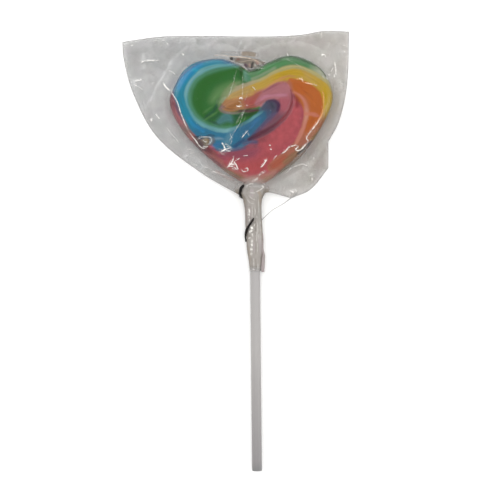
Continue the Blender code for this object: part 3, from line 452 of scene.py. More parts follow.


# Marks on the shown film, in this order: colour, half width, strength, and the line that each follows.
# The light ones are sharp folds, raised too, whose colour is whitened film with a painted highlight.
FOLD_MARKS_MM = [
    # painted highlight down the left edge of the candy, with the loops at its foot
    ("whitening_and_glint", 0.23, 0.8, [(-30.7, 12.5), (-30.0, 11.2), (-29.0, 10.1), (-28.4, 9.7)]),
    ("whitening_and_glint", 0.14, 0.95, [
        (-28.1, 9.7), (-27.3, 8.1), (-26.2, 6.4), (-25.4, 4.2), (-24.8, 2.1), (-24.0, 0.0), (-23.1, -2.2),
        (-22.2, -4.1),
    ]),
    ("whitening_and_glint", 0.13, 0.8, [
        (-22.2, -4.1), (-20.8, -6.2), (-19.6, -7.7), (-18.3, -9.5), (-17.0, -10.2), (-15.6, -9.5),
    ]),
    ("whitening_and_glint", 0.12, 0.6, [
        (-19.6, -7.4), (-18.1, -6.5), (-16.6, -6.3), (-14.9, -6.4), (-14.4, -7.3), (-15.1, -8.6),
        (-16.2, -9.0),
    ]),
    ("whitening_and_glint", 0.12, 0.5, [(-17.4, -7.3), (-16.4, -8.0), (-15.7, -7.5)]),
    # bursts and crumple at the lower left of the candy
    ("whitening_and_glint", 0.23, 0.81, [(-10.9, -8.2), (-10.2, -9.3), (-9.8, -10.4)]),
    ("whitening_and_glint", 0.23, 0.9, [(-11.2, -11.3), (-9.8, -10.6), (-8.5, -10.2)]),
    ("whitening_and_glint", 0.16, 0.81, [(-9.5, -11.0), (-8.0, -11.2)]),
    ("whitening_and_glint", 0.19, 0.47, [(-9.8, -8.7), (-8.9, -9.1)]),
    ("whitening_and_glint", 0.16, 0.76, [(-6.8, -12.7), (-7.2, -14.4), (-8.1, -15.7), (-9.5, -17.0)]),
    ("whitening_and_glint", 0.16, 0.9, [(-7.0, -14.6), (-6.1, -15.8), (-5.4, -17.6)]),
    ("whitening_and_glint", 0.16, 0.76, [(-8.8, -16.5), (-7.3, -16.4), (-5.6, -17.7)]),
    ("whitening_and_glint", 0.13, 0.66, [(-6.5, -14.6), (-4.8, -13.6)]),
    ("whitening_and_glint", 0.19, 0.66, [(-8.2, -15.5), (-6.6, -15.8)]),
    ("whitening_and_glint", 0.16, 0.57, [(-7.6, -17.0), (-6.4, -17.6)]),
    ("whitening_and_glint", 0.16, 0.57, [(-3.6, -12.8), (-2.1, -12.7)]),
    ("whitening_and_glint", 0.19, 0.85, [(4.4, -14.2), (3.9, -14.8), (3.2, -15.9), (2.2, -16.9)]),
    ("whitening_and_glint", 0.26, 0.57, [(3.5, -14.4), (4.5, -14.2)]),
    ("whitening_and_glint", 0.13, 0.81, [(-4.5, -17.2), (-3.6, -18.2), (-2.2, -17.9), (-2.3, -17.0), (-3.3, -17.3)]),
    ("whitening_and_glint", 0.16, 0.66, [(5.3, -9.1), (5.7, -9.6)]),
    ("whitening_and_glint", 0.19, 0.85, [(5.6, -10.5), (6.0, -10.9)]),
    # star in the middle, with its rays
    ("whitening_and_glint", 0.16, 0.9, [(-4.9, 6.5), (-4.1, 7.0), (-3.8, 6.3)]),
    ("whitening_and_glint", 0.19, 0.9, [(-5.8, 4.1), (-4.8, 4.0), (-4.0, 4.2)]),
    ("whitening_and_glint", 0.11, 0.57, [(-4.1, 4.8), (-4.6, 5.7)]),
    ("whitening_and_glint", 0.14, 0.57, [(-2.5, 4.2), (-1.9, 4.4)]),
    ("whitening_and_glint", 0.1, 0.57, [(-3.6, 14.7), (-3.6, 10.8), (-3.7, 6.8)]),
    ("whitening_and_glint", 0.08, 0.47, [(-5.5, 16.6), (-6.5, 13.0), (-7.7, 9.2), (-8.6, 6.8)]),
    ("whitening_and_glint", 0.12, 0.66, [(-0.4, 10.6), (0.2, 10.2), (0.8, 9.3)]),
    ("whitening_and_glint", 0.08, 0.33, [(-2.0, 9.5), (-2.4, 7.0), (-3.2, 5.9)]),
    ("whitening_and_glint", 0.08, 0.47, [
        (-2.5, 3.6), (-3.7, 1.1), (-4.6, -1.5), (-6.4, -4.4), (-7.9, -7.0), (-8.7, -8.7),
    ]),
    ("whitening_and_glint", 0.08, 0.28, [(-2.5, 1.0), (-4.0, -2.3), (-4.7, -4.5)]),
    ("whitening_and_glint", 0.08, 0.47, [(-8.1, -4.9), (-7.5, -7.4), (-8.1, -9.1)]),
    ("whitening_and_glint", 0.14, 0.76, [(-1.9, -4.1), (-3.0, -5.4), (-4.2, -6.8)]),
    ("whitening_and_glint", 0.11, 0.57, [(-2.1, -5.1), (-1.5, -6.0)]),
    # painted highlights down the right edge of the candy
    ("whitening_and_glint", 0.1, 0.35, [(10.5, 20.3), (12.6, 19.3), (14.3, 18.4), (15.9, 17.4), (17.3, 16.3)]),
    ("orange_highlight", 0.17, 0.75, [
        (13.5, 13.0), (15.2, 13.1), (16.6, 13.1), (16.9, 12.1), (18.3, 11.7), (19.6, 11.4), (22.3, 10.7),
    ]),
    ("whitening_and_glint", 0.12, 0.6, [(15.6, 13.1), (16.7, 13.0), (16.9, 12.2)]),
    ("whitening_and_glint", 0.1, 0.5, [(17.6, 11.8), (20.0, 11.3), (22.0, 10.7)]),
    ("orange_highlight", 0.19, 0.65, [
        (22.7, 10.3), (23.7, 8.3), (23.8, 5.9), (23.7, 3.2), (23.1, 0.8), (21.9, -1.2), (20.5, -3.3),
        (19.8, -4.3),
    ]),
    ("whitening_and_glint", 0.17, 0.8, [(9.2, -12.3), (10.6, -11.5), (11.9, -10.1), (13.3, -9.6), (14.3, -9.3)]),
    ("whitening_and_glint", 0.2, 0.95, [
        (14.3, -9.3), (15.0, -9.8), (14.3, -10.7), (14.6, -11.2), (15.7, -11.0), (16.7, -10.2),
        (17.4, -9.3), (18.2, -8.5),
    ]),
    ("whitening_and_glint", 0.15, 0.8, [
        (18.2, -8.5), (18.4, -8.0), (17.9, -7.1), (18.1, -6.5), (19.1, -5.1), (20.5, -3.4), (21.9, -1.6),
        (22.6, -0.2),
    ]),
    ("whitening_and_glint", 0.1, 0.4, [(0.3, 16.9), (2.3, 16.9), (4.0, 16.8)]),
    ("whitening_and_glint", 0.34, 0.2, [(-3.2, 2.8), (-4.6, 0.4), (-6.0, -2.0)]),
    ("whitening_and_glint", 0.14, 0.5, [(6.5, -14.2), (7.8, -12.7)]),
    ("whitening_and_glint", 0.14, 0.4, [(3.9, -14.5), (4.8, -13.5)]),
    ("whitening_and_glint", 0.15, 0.5, [(-20.3, -6.6), (-19.0, -8.7)]),
    ("whitening_and_glint", 0.88, 0.22, [(-12.2, -11.1), (-9.5, -11.8)]),
    ("whitening_and_glint", 0.82, 0.3, [(-8.5, -14.9), (-6.1, -16.6)]),
    ("whitening_and_glint", 0.54, 0.3, [(-9.1, -9.4), (-7.4, -10.5)]),
    ("whitening_and_glint", 0.17, 0.5, [(-17.3, -9.7), (-15.6, -9.5)]),
    # upper left of the bag
    ("whitening_and_glint", 0.19, 0.68, [(-24.0, 22.2), (-23.5, 21.6)]),
    ("whitening_and_glint", 0.11, 0.36, [(-29.2, 21.7), (-26.9, 21.7), (-24.5, 21.8)]),
    ("whitening_and_glint", 0.21, 0.54, [(-31.8, 19.9), (-35.0, 19.9), (-37.1, 19.7), (-38.1, 19.2)]),
    ("whitening_and_glint", 0.21, 0.58, [(-37.8, 13.5), (-39.2, 13.1), (-40.5, 13.0)]),
    ("whitening_and_glint", 0.08, 0.29, [(-38.2, 13.3), (-36.5, 11.6)]),
    ("whitening_and_glint", 0.17, 0.58, [(-40.2, 11.6), (-39.5, 11.3)]),
    ("whitening_and_glint", 0.08, 0.43, [(-39.5, 11.3), (-37.5, 9.9)]),
    ("whitening_and_glint", 0.15, 0.36, [(-28.9, 16.4), (-27.6, 15.9), (-26.2, 14.7)]),
    ("whitening_and_glint", 0.13, 0.25, [(-30.6, 18.5), (-29.6, 17.3)]),
    ("whitening_and_glint", 0.17, 0.32, [(-34.6, 15.3), (-33.4, 15.3)]),
    ("whitening_and_glint", 0.17, 0.61, [(-29.2, 25.8), (-28.8, 25.3)]),
    ("whitening_and_glint", 0.15, 0.43, [(-30.6, 26.8), (-30.1, 26.5)]),
    ("whitening_and_glint", 0.13, 0.36, [(-31.4, 25.8), (-31.1, 24.4)]),
    ("whitening_and_glint", 0.13, 0.36, [(-34.3, 26.0), (-33.3, 26.6), (-32.6, 26.8)]),
    ("whitening_and_glint", 0.13, 0.32, [(-28.2, 24.8), (-27.5, 25.1)]),
    ("whitening_and_glint", 0.17, 0.43, [(-41.6, 24.9), (-40.4, 25.4)]),
    ("whitening_and_glint", 0.17, 0.43, [(-43.2, 19.3), (-42.9, 17.4)]),
    ("whitening_and_glint", 0.11, 0.29, [(-44.2, 25.6), (-42.8, 24.4)]),
    # left and lower left of the bag
    ("whitening_and_glint", 0.2, 0.6, [(-33.3, 1.8), (-32.5, 0.7), (-32.0, 0.0)]),
    ("whitening_and_glint", 0.22, 0.71, [(-34.7, 0.0), (-34.8, -0.8)]),
    ("whitening_and_glint", 0.1, 0.56, [(-29.8, -2.4), (-28.5, -4.5), (-27.5, -5.7), (-26.1, -7.2), (-25.6, -8.3)]),
    ("whitening_and_glint", 0.11, 0.45, [(-27.5, -11.6), (-25.2, -13.7), (-22.5, -15.6)]),
    ("whitening_and_glint", 0.09, 0.38, [
        (-23.4, -11.0), (-21.7, -10.3), (-20.4, -11.0), (-21.1, -11.9), (-23.1, -11.5),
    ]),
    ("whitening_and_glint", 0.15, 0.34, [(-18.7, -14.1), (-17.4, -16.2), (-15.7, -16.7)]),
    ("whitening_and_glint", 0.13, 0.49, [(-14.3, -17.9), (-12.3, -18.6), (-9.6, -19.4)]),
    ("whitening_and_glint", 0.15, 0.3, [(-21.1, -15.1), (-19.1, -16.0)]),
    ("whitening_and_glint", 0.11, 0.34, [(-15.9, -19.1), (-14.0, -18.2)]),
    ("whitening_and_glint", 0.08, 0.26, [(-23.1, -14.4), (-18.4, -17.5), (-13.3, -20.6)]),
    ("whitening_and_glint", 0.09, 0.3, [(-36.2, 2.4), (-34.5, 2.0)]),
    # upper right of the bag
    ("whitening_and_glint", 0.15, 0.6, [(23.2, 20.9), (24.0, 21.4), (24.9, 20.4)]),
    ("whitening_and_glint", 0.13, 0.38, [(25.5, 21.9), (26.2, 20.9)]),
    ("whitening_and_glint", 0.15, 0.64, [(27.7, 19.6), (28.0, 16.7), (28.1, 14.3)]),
    ("whitening_and_glint", 0.17, 0.68, [(27.5, 14.5), (27.7, 13.6)]),
    ("whitening_and_glint", 0.11, 0.38, [(26.5, 15.4), (27.2, 17.1)]),
    ("whitening_and_glint", 0.13, 0.45, [(29.6, 24.5), (31.3, 24.3), (31.7, 23.5)]),
    ("whitening_and_glint", 0.23, 0.75, [(30.9, 22.6), (31.3, 22.3)]),
    ("whitening_and_glint", 0.11, 0.38, [(28.8, 23.2), (29.4, 21.8)]),
    ("whitening_and_glint", 0.13, 0.45, [(31.6, 20.8), (31.9, 19.8)]),
    ("whitening_and_glint", 0.15, 0.34, [(23.3, 28.5), (23.4, 27.0)]),
    ("whitening_and_glint", 0.15, 0.6, [(25.5, 14.8), (26.2, 14.2)]),
    ("whitening_and_glint", 0.15, 0.45, [(24.7, 13.8), (25.4, 12.9)]),
    ("whitening_and_glint", 0.19, 0.6, [(11.6, 21.8), (12.0, 20.9)]),
    ("whitening_and_glint", 0.17, 0.52, [(9.1, 21.2), (9.5, 20.6)]),
    ("whitening_and_glint", 0.17, 0.38, [(23.5, 14.1), (24.3, 13.3)]),
    ("whitening_and_glint", 0.11, 0.3, [(28.5, 12.0), (29.7, 12.5), (30.0, 10.6)]),
    ("whitening_and_glint", 0.08, 0.22, [(22.8, 25.6), (22.8, 19.5), (22.4, 15.4)]),
    # lower right of the bag
    ("whitening_and_glint", 0.15, 0.52, [(10.8, -18.8), (11.9, -17.8), (12.7, -17.1)]),
    ("whitening_and_glint", 0.13, 0.45, [(12.7, -17.1), (14.3, -16.5), (15.6, -16.0), (17.0, -15.9), (18.3, -16.7)]),
    ("whitening_and_glint", 0.13, 0.45, [(18.5, -19.6), (19.8, -19.7), (19.3, -18.9)]),
    ("whitening_and_glint", 0.18, 0.52, [(19.6, -20.5), (19.7, -21.2)]),
    ("whitening_and_glint", 0.18, 0.6, [(11.8, -24.4), (12.5, -25.1), (13.3, -25.0)]),
    ("whitening_and_glint", 0.18, 0.75, [(12.8, -25.5), (13.5, -25.3)]),
    ("whitening_and_glint", 0.15, 0.52, [(13.5, -24.4), (14.5, -25.2)]),
    ("whitening_and_glint", 0.15, 0.38, [(11.4, -25.6), (12.5, -26.5)]),
    ("whitening_and_glint", 0.13, 0.38, [(17.6, -21.9), (18.7, -23.1)]),
    ("whitening_and_glint", 0.18, 0.38, [(20.1, -13.7), (20.4, -14.2)]),
    ("whitening_and_glint", 0.2, 0.26, [(14.6, -21.1), (14.9, -22.2)]),
    ("whitening_and_glint", 0.11, 0.26, [(16.7, -14.4), (18.3, -15.5)]),
    # gathers below the tip
    ("whitening_and_glint", 0.44, 0.36, [(1.3, -19.6), (2.7, -18.6), (4.0, -18.1)]),
    ("whitening_and_glint", 0.33, 0.45, [(-0.6, -21.6), (1.3, -20.4)]),
    ("whitening_and_glint", 0.16, 0.72, [(2.6, -23.1), (3.3, -23.6)]),
    ("whitening_and_glint", 0.14, 0.63, [(-2.8, -23.2), (-1.4, -22.4), (-0.3, -22.4)]),
    ("whitening_and_glint", 0.14, 0.63, [(0.6, -25.1), (1.9, -24.5), (3.3, -23.5)]),
    ("whitening_and_glint", 0.16, 0.36, [(-1.5, -25.4), (0.4, -25.5)]),
    # whitened folds of the neck, with their painted highlights
    ("whitening_and_glint", 0.26, 0.85, [(-1.8, -30.8), (-1.7, -32.3)]),
    ("whitening_and_glint", 0.24, 0.75, [(-1.9, -32.5), (-1.7, -33.3)]),
    ("whitening_and_glint", 0.17, 0.5, [(-2.1, -33.6), (-1.7, -34.2)]),
    ("whitening_and_glint", 0.17, 0.6, [(-1.7, -34.3), (-1.8, -35.3)]),
    ("whitening_and_glint", 0.12, 0.4, [(-2.3, -31.9), (-2.3, -33.3)]),
    ("whitening_and_glint", 0.12, 0.35, [(0.0, -30.6), (0.3, -31.6), (0.1, -33.0)]),
    ("whitening_and_glint", 0.1, 0.3, [(0.7, -33.2), (0.9, -34.0)]),
    ("whitening_and_glint", 0.37, 1.0, [(-1.2, -36.9), (-0.8, -37.8)]),
    ("whitening_and_glint", 0.31, 1.0, [(-0.8, -37.9), (-1.4, -38.7)]),
    ("whitening_and_glint", 0.2, 0.9, [(-1.9, -38.4), (-1.6, -39.1)]),
    ("whitening_and_glint", 0.15, 0.7, [(-1.7, -38.2), (-1.5, -39.0)]),
    ("whitening_and_glint", 0.17, 0.65, [(-0.9, -39.2), (-0.7, -40.4)]),
    ("whitening_and_glint", 0.15, 0.6, [(-2.2, -40.9), (-1.4, -40.7)]),
    ("whitening_and_glint", 0.34, 0.6, [(-1.0, -41.3), (-1.0, -42.5)]),
    ("whitening_and_glint", 0.34, 0.85, [(-1.1, -42.7), (-0.9, -43.6)]),
    ("whitening_and_glint", 0.41, 0.9, [(-1.2, -44.3), (-1.1, -45.0)]),
    ("whitening_and_glint", 0.31, 0.7, [(-1.1, -45.8), (-1.3, -46.6)]),
    ("whitening_and_glint", 0.15, 0.8, [(-0.6, -51.3), (-0.5, -52.2)]),
    ("whitening_and_glint", 0.12, 0.45, [(0.8, -38.6), (0.6, -41.8)]),
    ("whitening_and_glint", 0.1, 0.4, [(1.4, -39.3), (1.4, -41.3)]),
    ("whitening_and_glint", 0.12, 0.35, [(-0.5, -47.6), (-0.4, -50.5)]),
    ("whitening_and_glint", 0.14, 0.35, [(1.0, -49.5), (1.0, -52.2)]),
    ("whitening_and_glint", 0.12, 0.4, [(-1.8, -26.5), (-0.7, -27.5), (0.5, -27.9)]),
    ("whitening_and_glint", 0.1, 0.35, [(-2.4, -27.7), (-1.4, -28.9), (-0.1, -29.2)]),
    ("whitening_and_glint", 0.1, 0.35, [(-0.8, -29.9), (-0.8, -32.0), (-0.9, -34.3)]),
    ("whitening_and_glint", 0.1, 0.3, [(1.4, -27.6), (1.4, -29.9), (1.5, -32.7)]),
    ("whitening_and_glint", 0.12, 0.4, [(0.7, -35.0), (1.0, -37.1), (1.1, -39.1)]),
    ("whitening_and_glint", 0.14, 0.5, [(0.3, -35.8), (-0.2, -36.7)]),
    ("whitening_and_glint", 0.12, 0.3, [(1.9, -34.7), (2.1, -38.8), (2.0, -42.5)]),
    ("whitening_and_glint", 0.1, 0.35, [(0.9, -42.5), (0.9, -45.9)]),
    # painted highlights on the folds over the notch
    ("beige", 0.15, 0.5, [(-13.6, 21.3), (-10.5, 21.5), (-8.5, 21.2), (-5.8, 20.8)]),
    ("beige", 0.18, 0.85, [(-9.2, 21.1), (-4.4, 20.8), (-1.7, 20.4), (0.7, 19.7), (2.4, 18.6)]),
    ("beige", 0.12, 0.5, [(-4.8, 18.9), (-1.0, 19.6), (1.3, 19.1)]),
    ("whitening_and_glint", 0.15, 0.32, [(-4.1, 18.2), (-2.9, 17.2), (-2.1, 16.3)]),
    ("whitening_and_glint", 0.2, 0.41, [(-2.3, 16.6), (-2.0, 16.2)]),
    ("whitening_and_glint", 0.15, 0.27, [(3.0, 19.4), (3.7, 19.2), (4.4, 19.4)]),
]
# Marks drawn before the folds, with the same columns. Many are painted shade: in gaps between folds, beside
# the candy's rim and on the neck's sides.
SHADE_MARKS_MM = [
    ("shade_beige", 0.75, 0.85, [(-4.2, 21.9), (-1.4, 21.9), (1.2, 21.3)]),
    ("shade_olive", 0.34, 0.4, [(-11.2, 22.1), (-8.5, 22.4), (-5.1, 22.2)]),
    ("putty", 0.85, 0.85, [(-6.8, 19.8), (-4.4, 19.6), (-2.1, 19.4), (1.0, 19.2), (2.4, 18.7)]),
    ("putty", 0.68, 0.7, [(-3.1, 18.1), (-1.1, 17.7), (1.0, 18.0)]),
    ("umber", 0.44, 1.0, [(-7.9, 20.4), (-6.7, 20.1)]),
    ("russet", 0.41, 0.8, [(-5.5, 20.0), (-4.5, 20.0)]),
    ("shade_olive", 0.14, 0.8, [(-5.1, 18.7), (-2.4, 19.1), (0.7, 18.5)]),
    ("shade_olive", 0.12, 0.7, [(-3.1, 20.0), (-1.0, 19.7), (0.3, 19.0)]),
    ("plum", 0.44, 0.9, [(-2.9, 18.5), (-1.9, 17.3)]),
    ("dusty", 0.31, 0.8, [(-1.4, 18.5), (-0.9, 17.5)]),
    ("umber", 0.34, 0.95, [(0.1, 19.2), (-0.4, 17.7), (-0.4, 16.9)]),
    ("film_grey", 0.2, 0.7, [(0.5, 18.5), (0.8, 17.3)]),
    ("dusty", 0.41, 0.8, [(1.1, 19.5), (1.8, 18.1)]),
    ("film_grey", 0.27, 0.6, [(2.2, 18.8), (3.0, 18.3)]),
    ("putty", 0.6, 0.6, [(2.3, 19.0), (4.1, 18.4)]),
    ("umber", 0.12, 0.55, [(1.1, 18.1), (2.8, 17.6), (4.2, 18.2)]),
    ("shade_olive", 0.17, 0.7, [(0.6, 17.5), (3.0, 17.5)]),
    ("teal_glare", 0.68, 0.2, [(-2.8, 16.0), (-2.6, 14.3), (-2.5, 11.9)]),
    ("bead", 0.34, 0.6, [(-22.4, 17.8), (-21.8, 17.9)]),
    ("umber", 0.12, 0.6, [(-20.2, -6.2), (-18.2, -6.0), (-16.2, -6.4), (-14.8, -6.8)]),
    ("russet", 0.25, 0.6, [(-19.4, -7.8), (-18.5, -9.5)]),
    ("shade_olive", 0.2, 0.6, [(-17.2, -7.1), (-16.5, -8.5), (-17.2, -9.8)]),
    ("plum", 0.17, 0.5, [(-18.6, -7.2), (-18.0, -8.8)]),
    ("umber", 0.14, 0.7, [(19.5, -7.8), (17.8, -9.7), (16.1, -11.1), (14.8, -11.9)]),
    ("shade_olive", 0.27, 0.45, [
        (18.8, -8.3), (16.7, -11.4), (14.3, -13.9), (11.5, -16.4), (8.5, -19.0), (5.4, -21.1),
    ]),
    ("dusty", 0.51, 0.35, [(-13.6, -17.5), (-10.3, -19.6), (-6.2, -21.4)]),
    ("russet", 0.31, 0.35, [(-10.9, -16.6), (-8.2, -18.5), (-4.8, -20.2)]),
    # folds of the neck, with painted shade in the gaps and on its sides
    ("flank", 0.41, 0.6, [(-4.4, -25.8), (-3.7, -27.2), (-3.0, -28.9)]),
    ("shade_olive", 0.31, 0.5, [(-4.6, -26.1), (-4.0, -27.3)]),
    ("fold_taupe", 0.27, 0.6, [(-2.7, -29.2), (-2.7, -32.6), (-2.7, -36.7)]),
    ("fold_brown", 0.54, 0.6, [(1.3, -24.8), (2.1, -26.5), (1.7, -28.9)]),
    ("shade_olive", 0.27, 0.6, [(3.6, -24.7), (3.0, -26.2), (2.4, -27.7)]),
    ("fold_mauve", 0.68, 0.5, [(-0.8, -24.0), (-1.0, -26.9)]),
    ("fold_mauve", 0.58, 0.6, [(1.6, -40.8), (2.1, -43.5), (2.2, -46.6)]),
    ("shade_olive", 0.15, 0.5, [(-0.1, -35.0), (0.3, -36.7), (0.2, -39.1)]),
    ("shade_olive", 0.14, 0.4, [(-0.7, -38.6), (0.0, -39.1)]),
    ("umber", 0.15, 0.4, [(-3.1, -41.1), (-2.9, -42.6), (-2.7, -43.7)]),
    ("umber", 0.12, 0.25, [(-2.5, -44.9), (-2.2, -47.6), (-2.0, -50.3)]),
    ("shade_olive", 0.14, 0.4, [(-2.8, -23.8), (-2.3, -24.6), (-2.7, -25.3)]),
    ("shade_olive", 0.12, 0.4, [(-2.1, -23.4), (-1.6, -24.1), (-1.9, -24.8)]),
    ("shade_olive", 0.12, 0.3, [(-2.7, -30.4), (-1.9, -30.1), (-1.0, -30.3)]),
    ("fold_taupe", 0.41, 0.45, [(-1.3, -29.9), (-1.3, -32.6), (-1.4, -35.0)]),
    ("film_grey", 0.34, 0.5, [(1.7, -29.9), (1.7, -34.0), (1.7, -38.8)]),
    ("umber", 0.12, 0.28, [(-3.1, -28.9), (-3.0, -32.6), (-3.0, -36.0)]),
    ("umber", 0.12, 0.28, [(2.3, -29.9), (2.3, -34.0), (2.4, -37.4)]),
    ("shade_olive", 0.12, 0.45, [(1.2, -26.2), (1.0, -29.3), (1.1, -32.3)]),
    ("shade_olive", 0.12, 0.35, [(0.4, -26.9), (0.6, -29.9), (0.6, -33.7)]),
    ("shade_olive", 0.12, 0.35, [(-0.4, -30.3), (-0.3, -33.0)]),
    ("shade_olive", 0.31, 0.35, [(0.3, -33.7), (0.5, -36.7)]),
    ("shade_olive", 0.14, 0.45, [(-3.7, -26.3), (-2.7, -28.0), (-2.5, -29.9)]),
    ("shade_olive", 0.12, 0.4, [(-2.8, -25.5), (-1.7, -27.4), (-0.3, -28.0)]),
    ("umber", 0.12, 0.35, [(-0.3, -37.2), (0.3, -37.9), (-0.1, -38.6)]),
    ("umber", 0.1, 0.35, [(0.0, -39.3), (0.4, -39.7)]),
    ("shade_olive", 0.24, 0.5, [(-2.2, -39.8), (-1.5, -40.2)]),
    ("umber", 0.12, 0.35, [(0.1, -35.2), (0.6, -36.7)]),
    ("shade_olive", 0.14, 0.35, [(-0.1, -41.1), (0.3, -43.9), (0.2, -46.6)]),
    ("fold_mauve", 0.27, 0.55, [(-0.3, -42.2), (-0.2, -44.2), (-0.2, -45.9)]),
    ("umber", 0.12, 0.3, [(2.7, -38.8), (2.8, -42.5), (2.7, -46.3)]),
    ("shade_olive", 0.15, 0.45, [(0.2, -47.6), (0.3, -49.6), (0.4, -51.7)]),
    ("shade_olive", 0.14, 0.4, [(-1.3, -47.2), (-1.1, -49.6), (-1.0, -51.7)]),
    ("umber", 0.14, 0.35, [(1.9, -46.9), (2.0, -49.7), (1.8, -52.0)]),
    ("fold_brown", 0.31, 0.4, [(-2.1, -43.8), (-1.8, -46.2), (-1.6, -48.9)]),
]

# Where the film is clearer or cloudier, as (x, y, radius, change of its cover)
FILM_TONES_MM = [
    (-36.0, 8.0, 10.0, -0.06), (-30.0, 21.0, 8.0, -0.04), (-28.5, -5.0, 6.5, -0.05),
    (-20.5, -14.5, 6.5, -0.06), (12.0, -21.0, 6.0, -0.07), (26.5, 22.0, 8.0, -0.1),
    (24.0, 29.0, 9.0, 0.06), (27.5, 4.0, 7.0, 0.12), (24.5, -10.0, 6.0, 0.12),
]


def linear(hex_colour):
    """Linear red, green and blue of an sRGB hex colour."""
    channels = [int(hex_colour[i : i + 2], 16) / 255 for i in (1, 3, 5)]
    return tuple(c / 12.92 if c <= 0.04045 else ((c + 0.055) / 1.055) ** 2.4 for c in channels)


def colour(name, description, hex_colour):
    """A colour property whose default is an sRGB hex colour."""
    return bpy.props.FloatVectorProperty(
        name=name,
        description=description,
        default=linear(hex_colour),
        min=0.0,
        max=1.0,
        size=3,
        subtype="COLOR",
    )


def length(name, description, metres):
    """A length property in metres."""
    return bpy.props.FloatProperty(
        name=name,
        description=description,
        default=metres,
        min=0.0,
        precision=5,
        subtype="DISTANCE",
        unit="LENGTH",
    )


def share(name, description, value):
    """A property from 0 to 1."""
    return bpy.props.FloatProperty(
        name=name, description=description, default=value, min=0.0, max=1.0, subtype="FACTOR"
    )


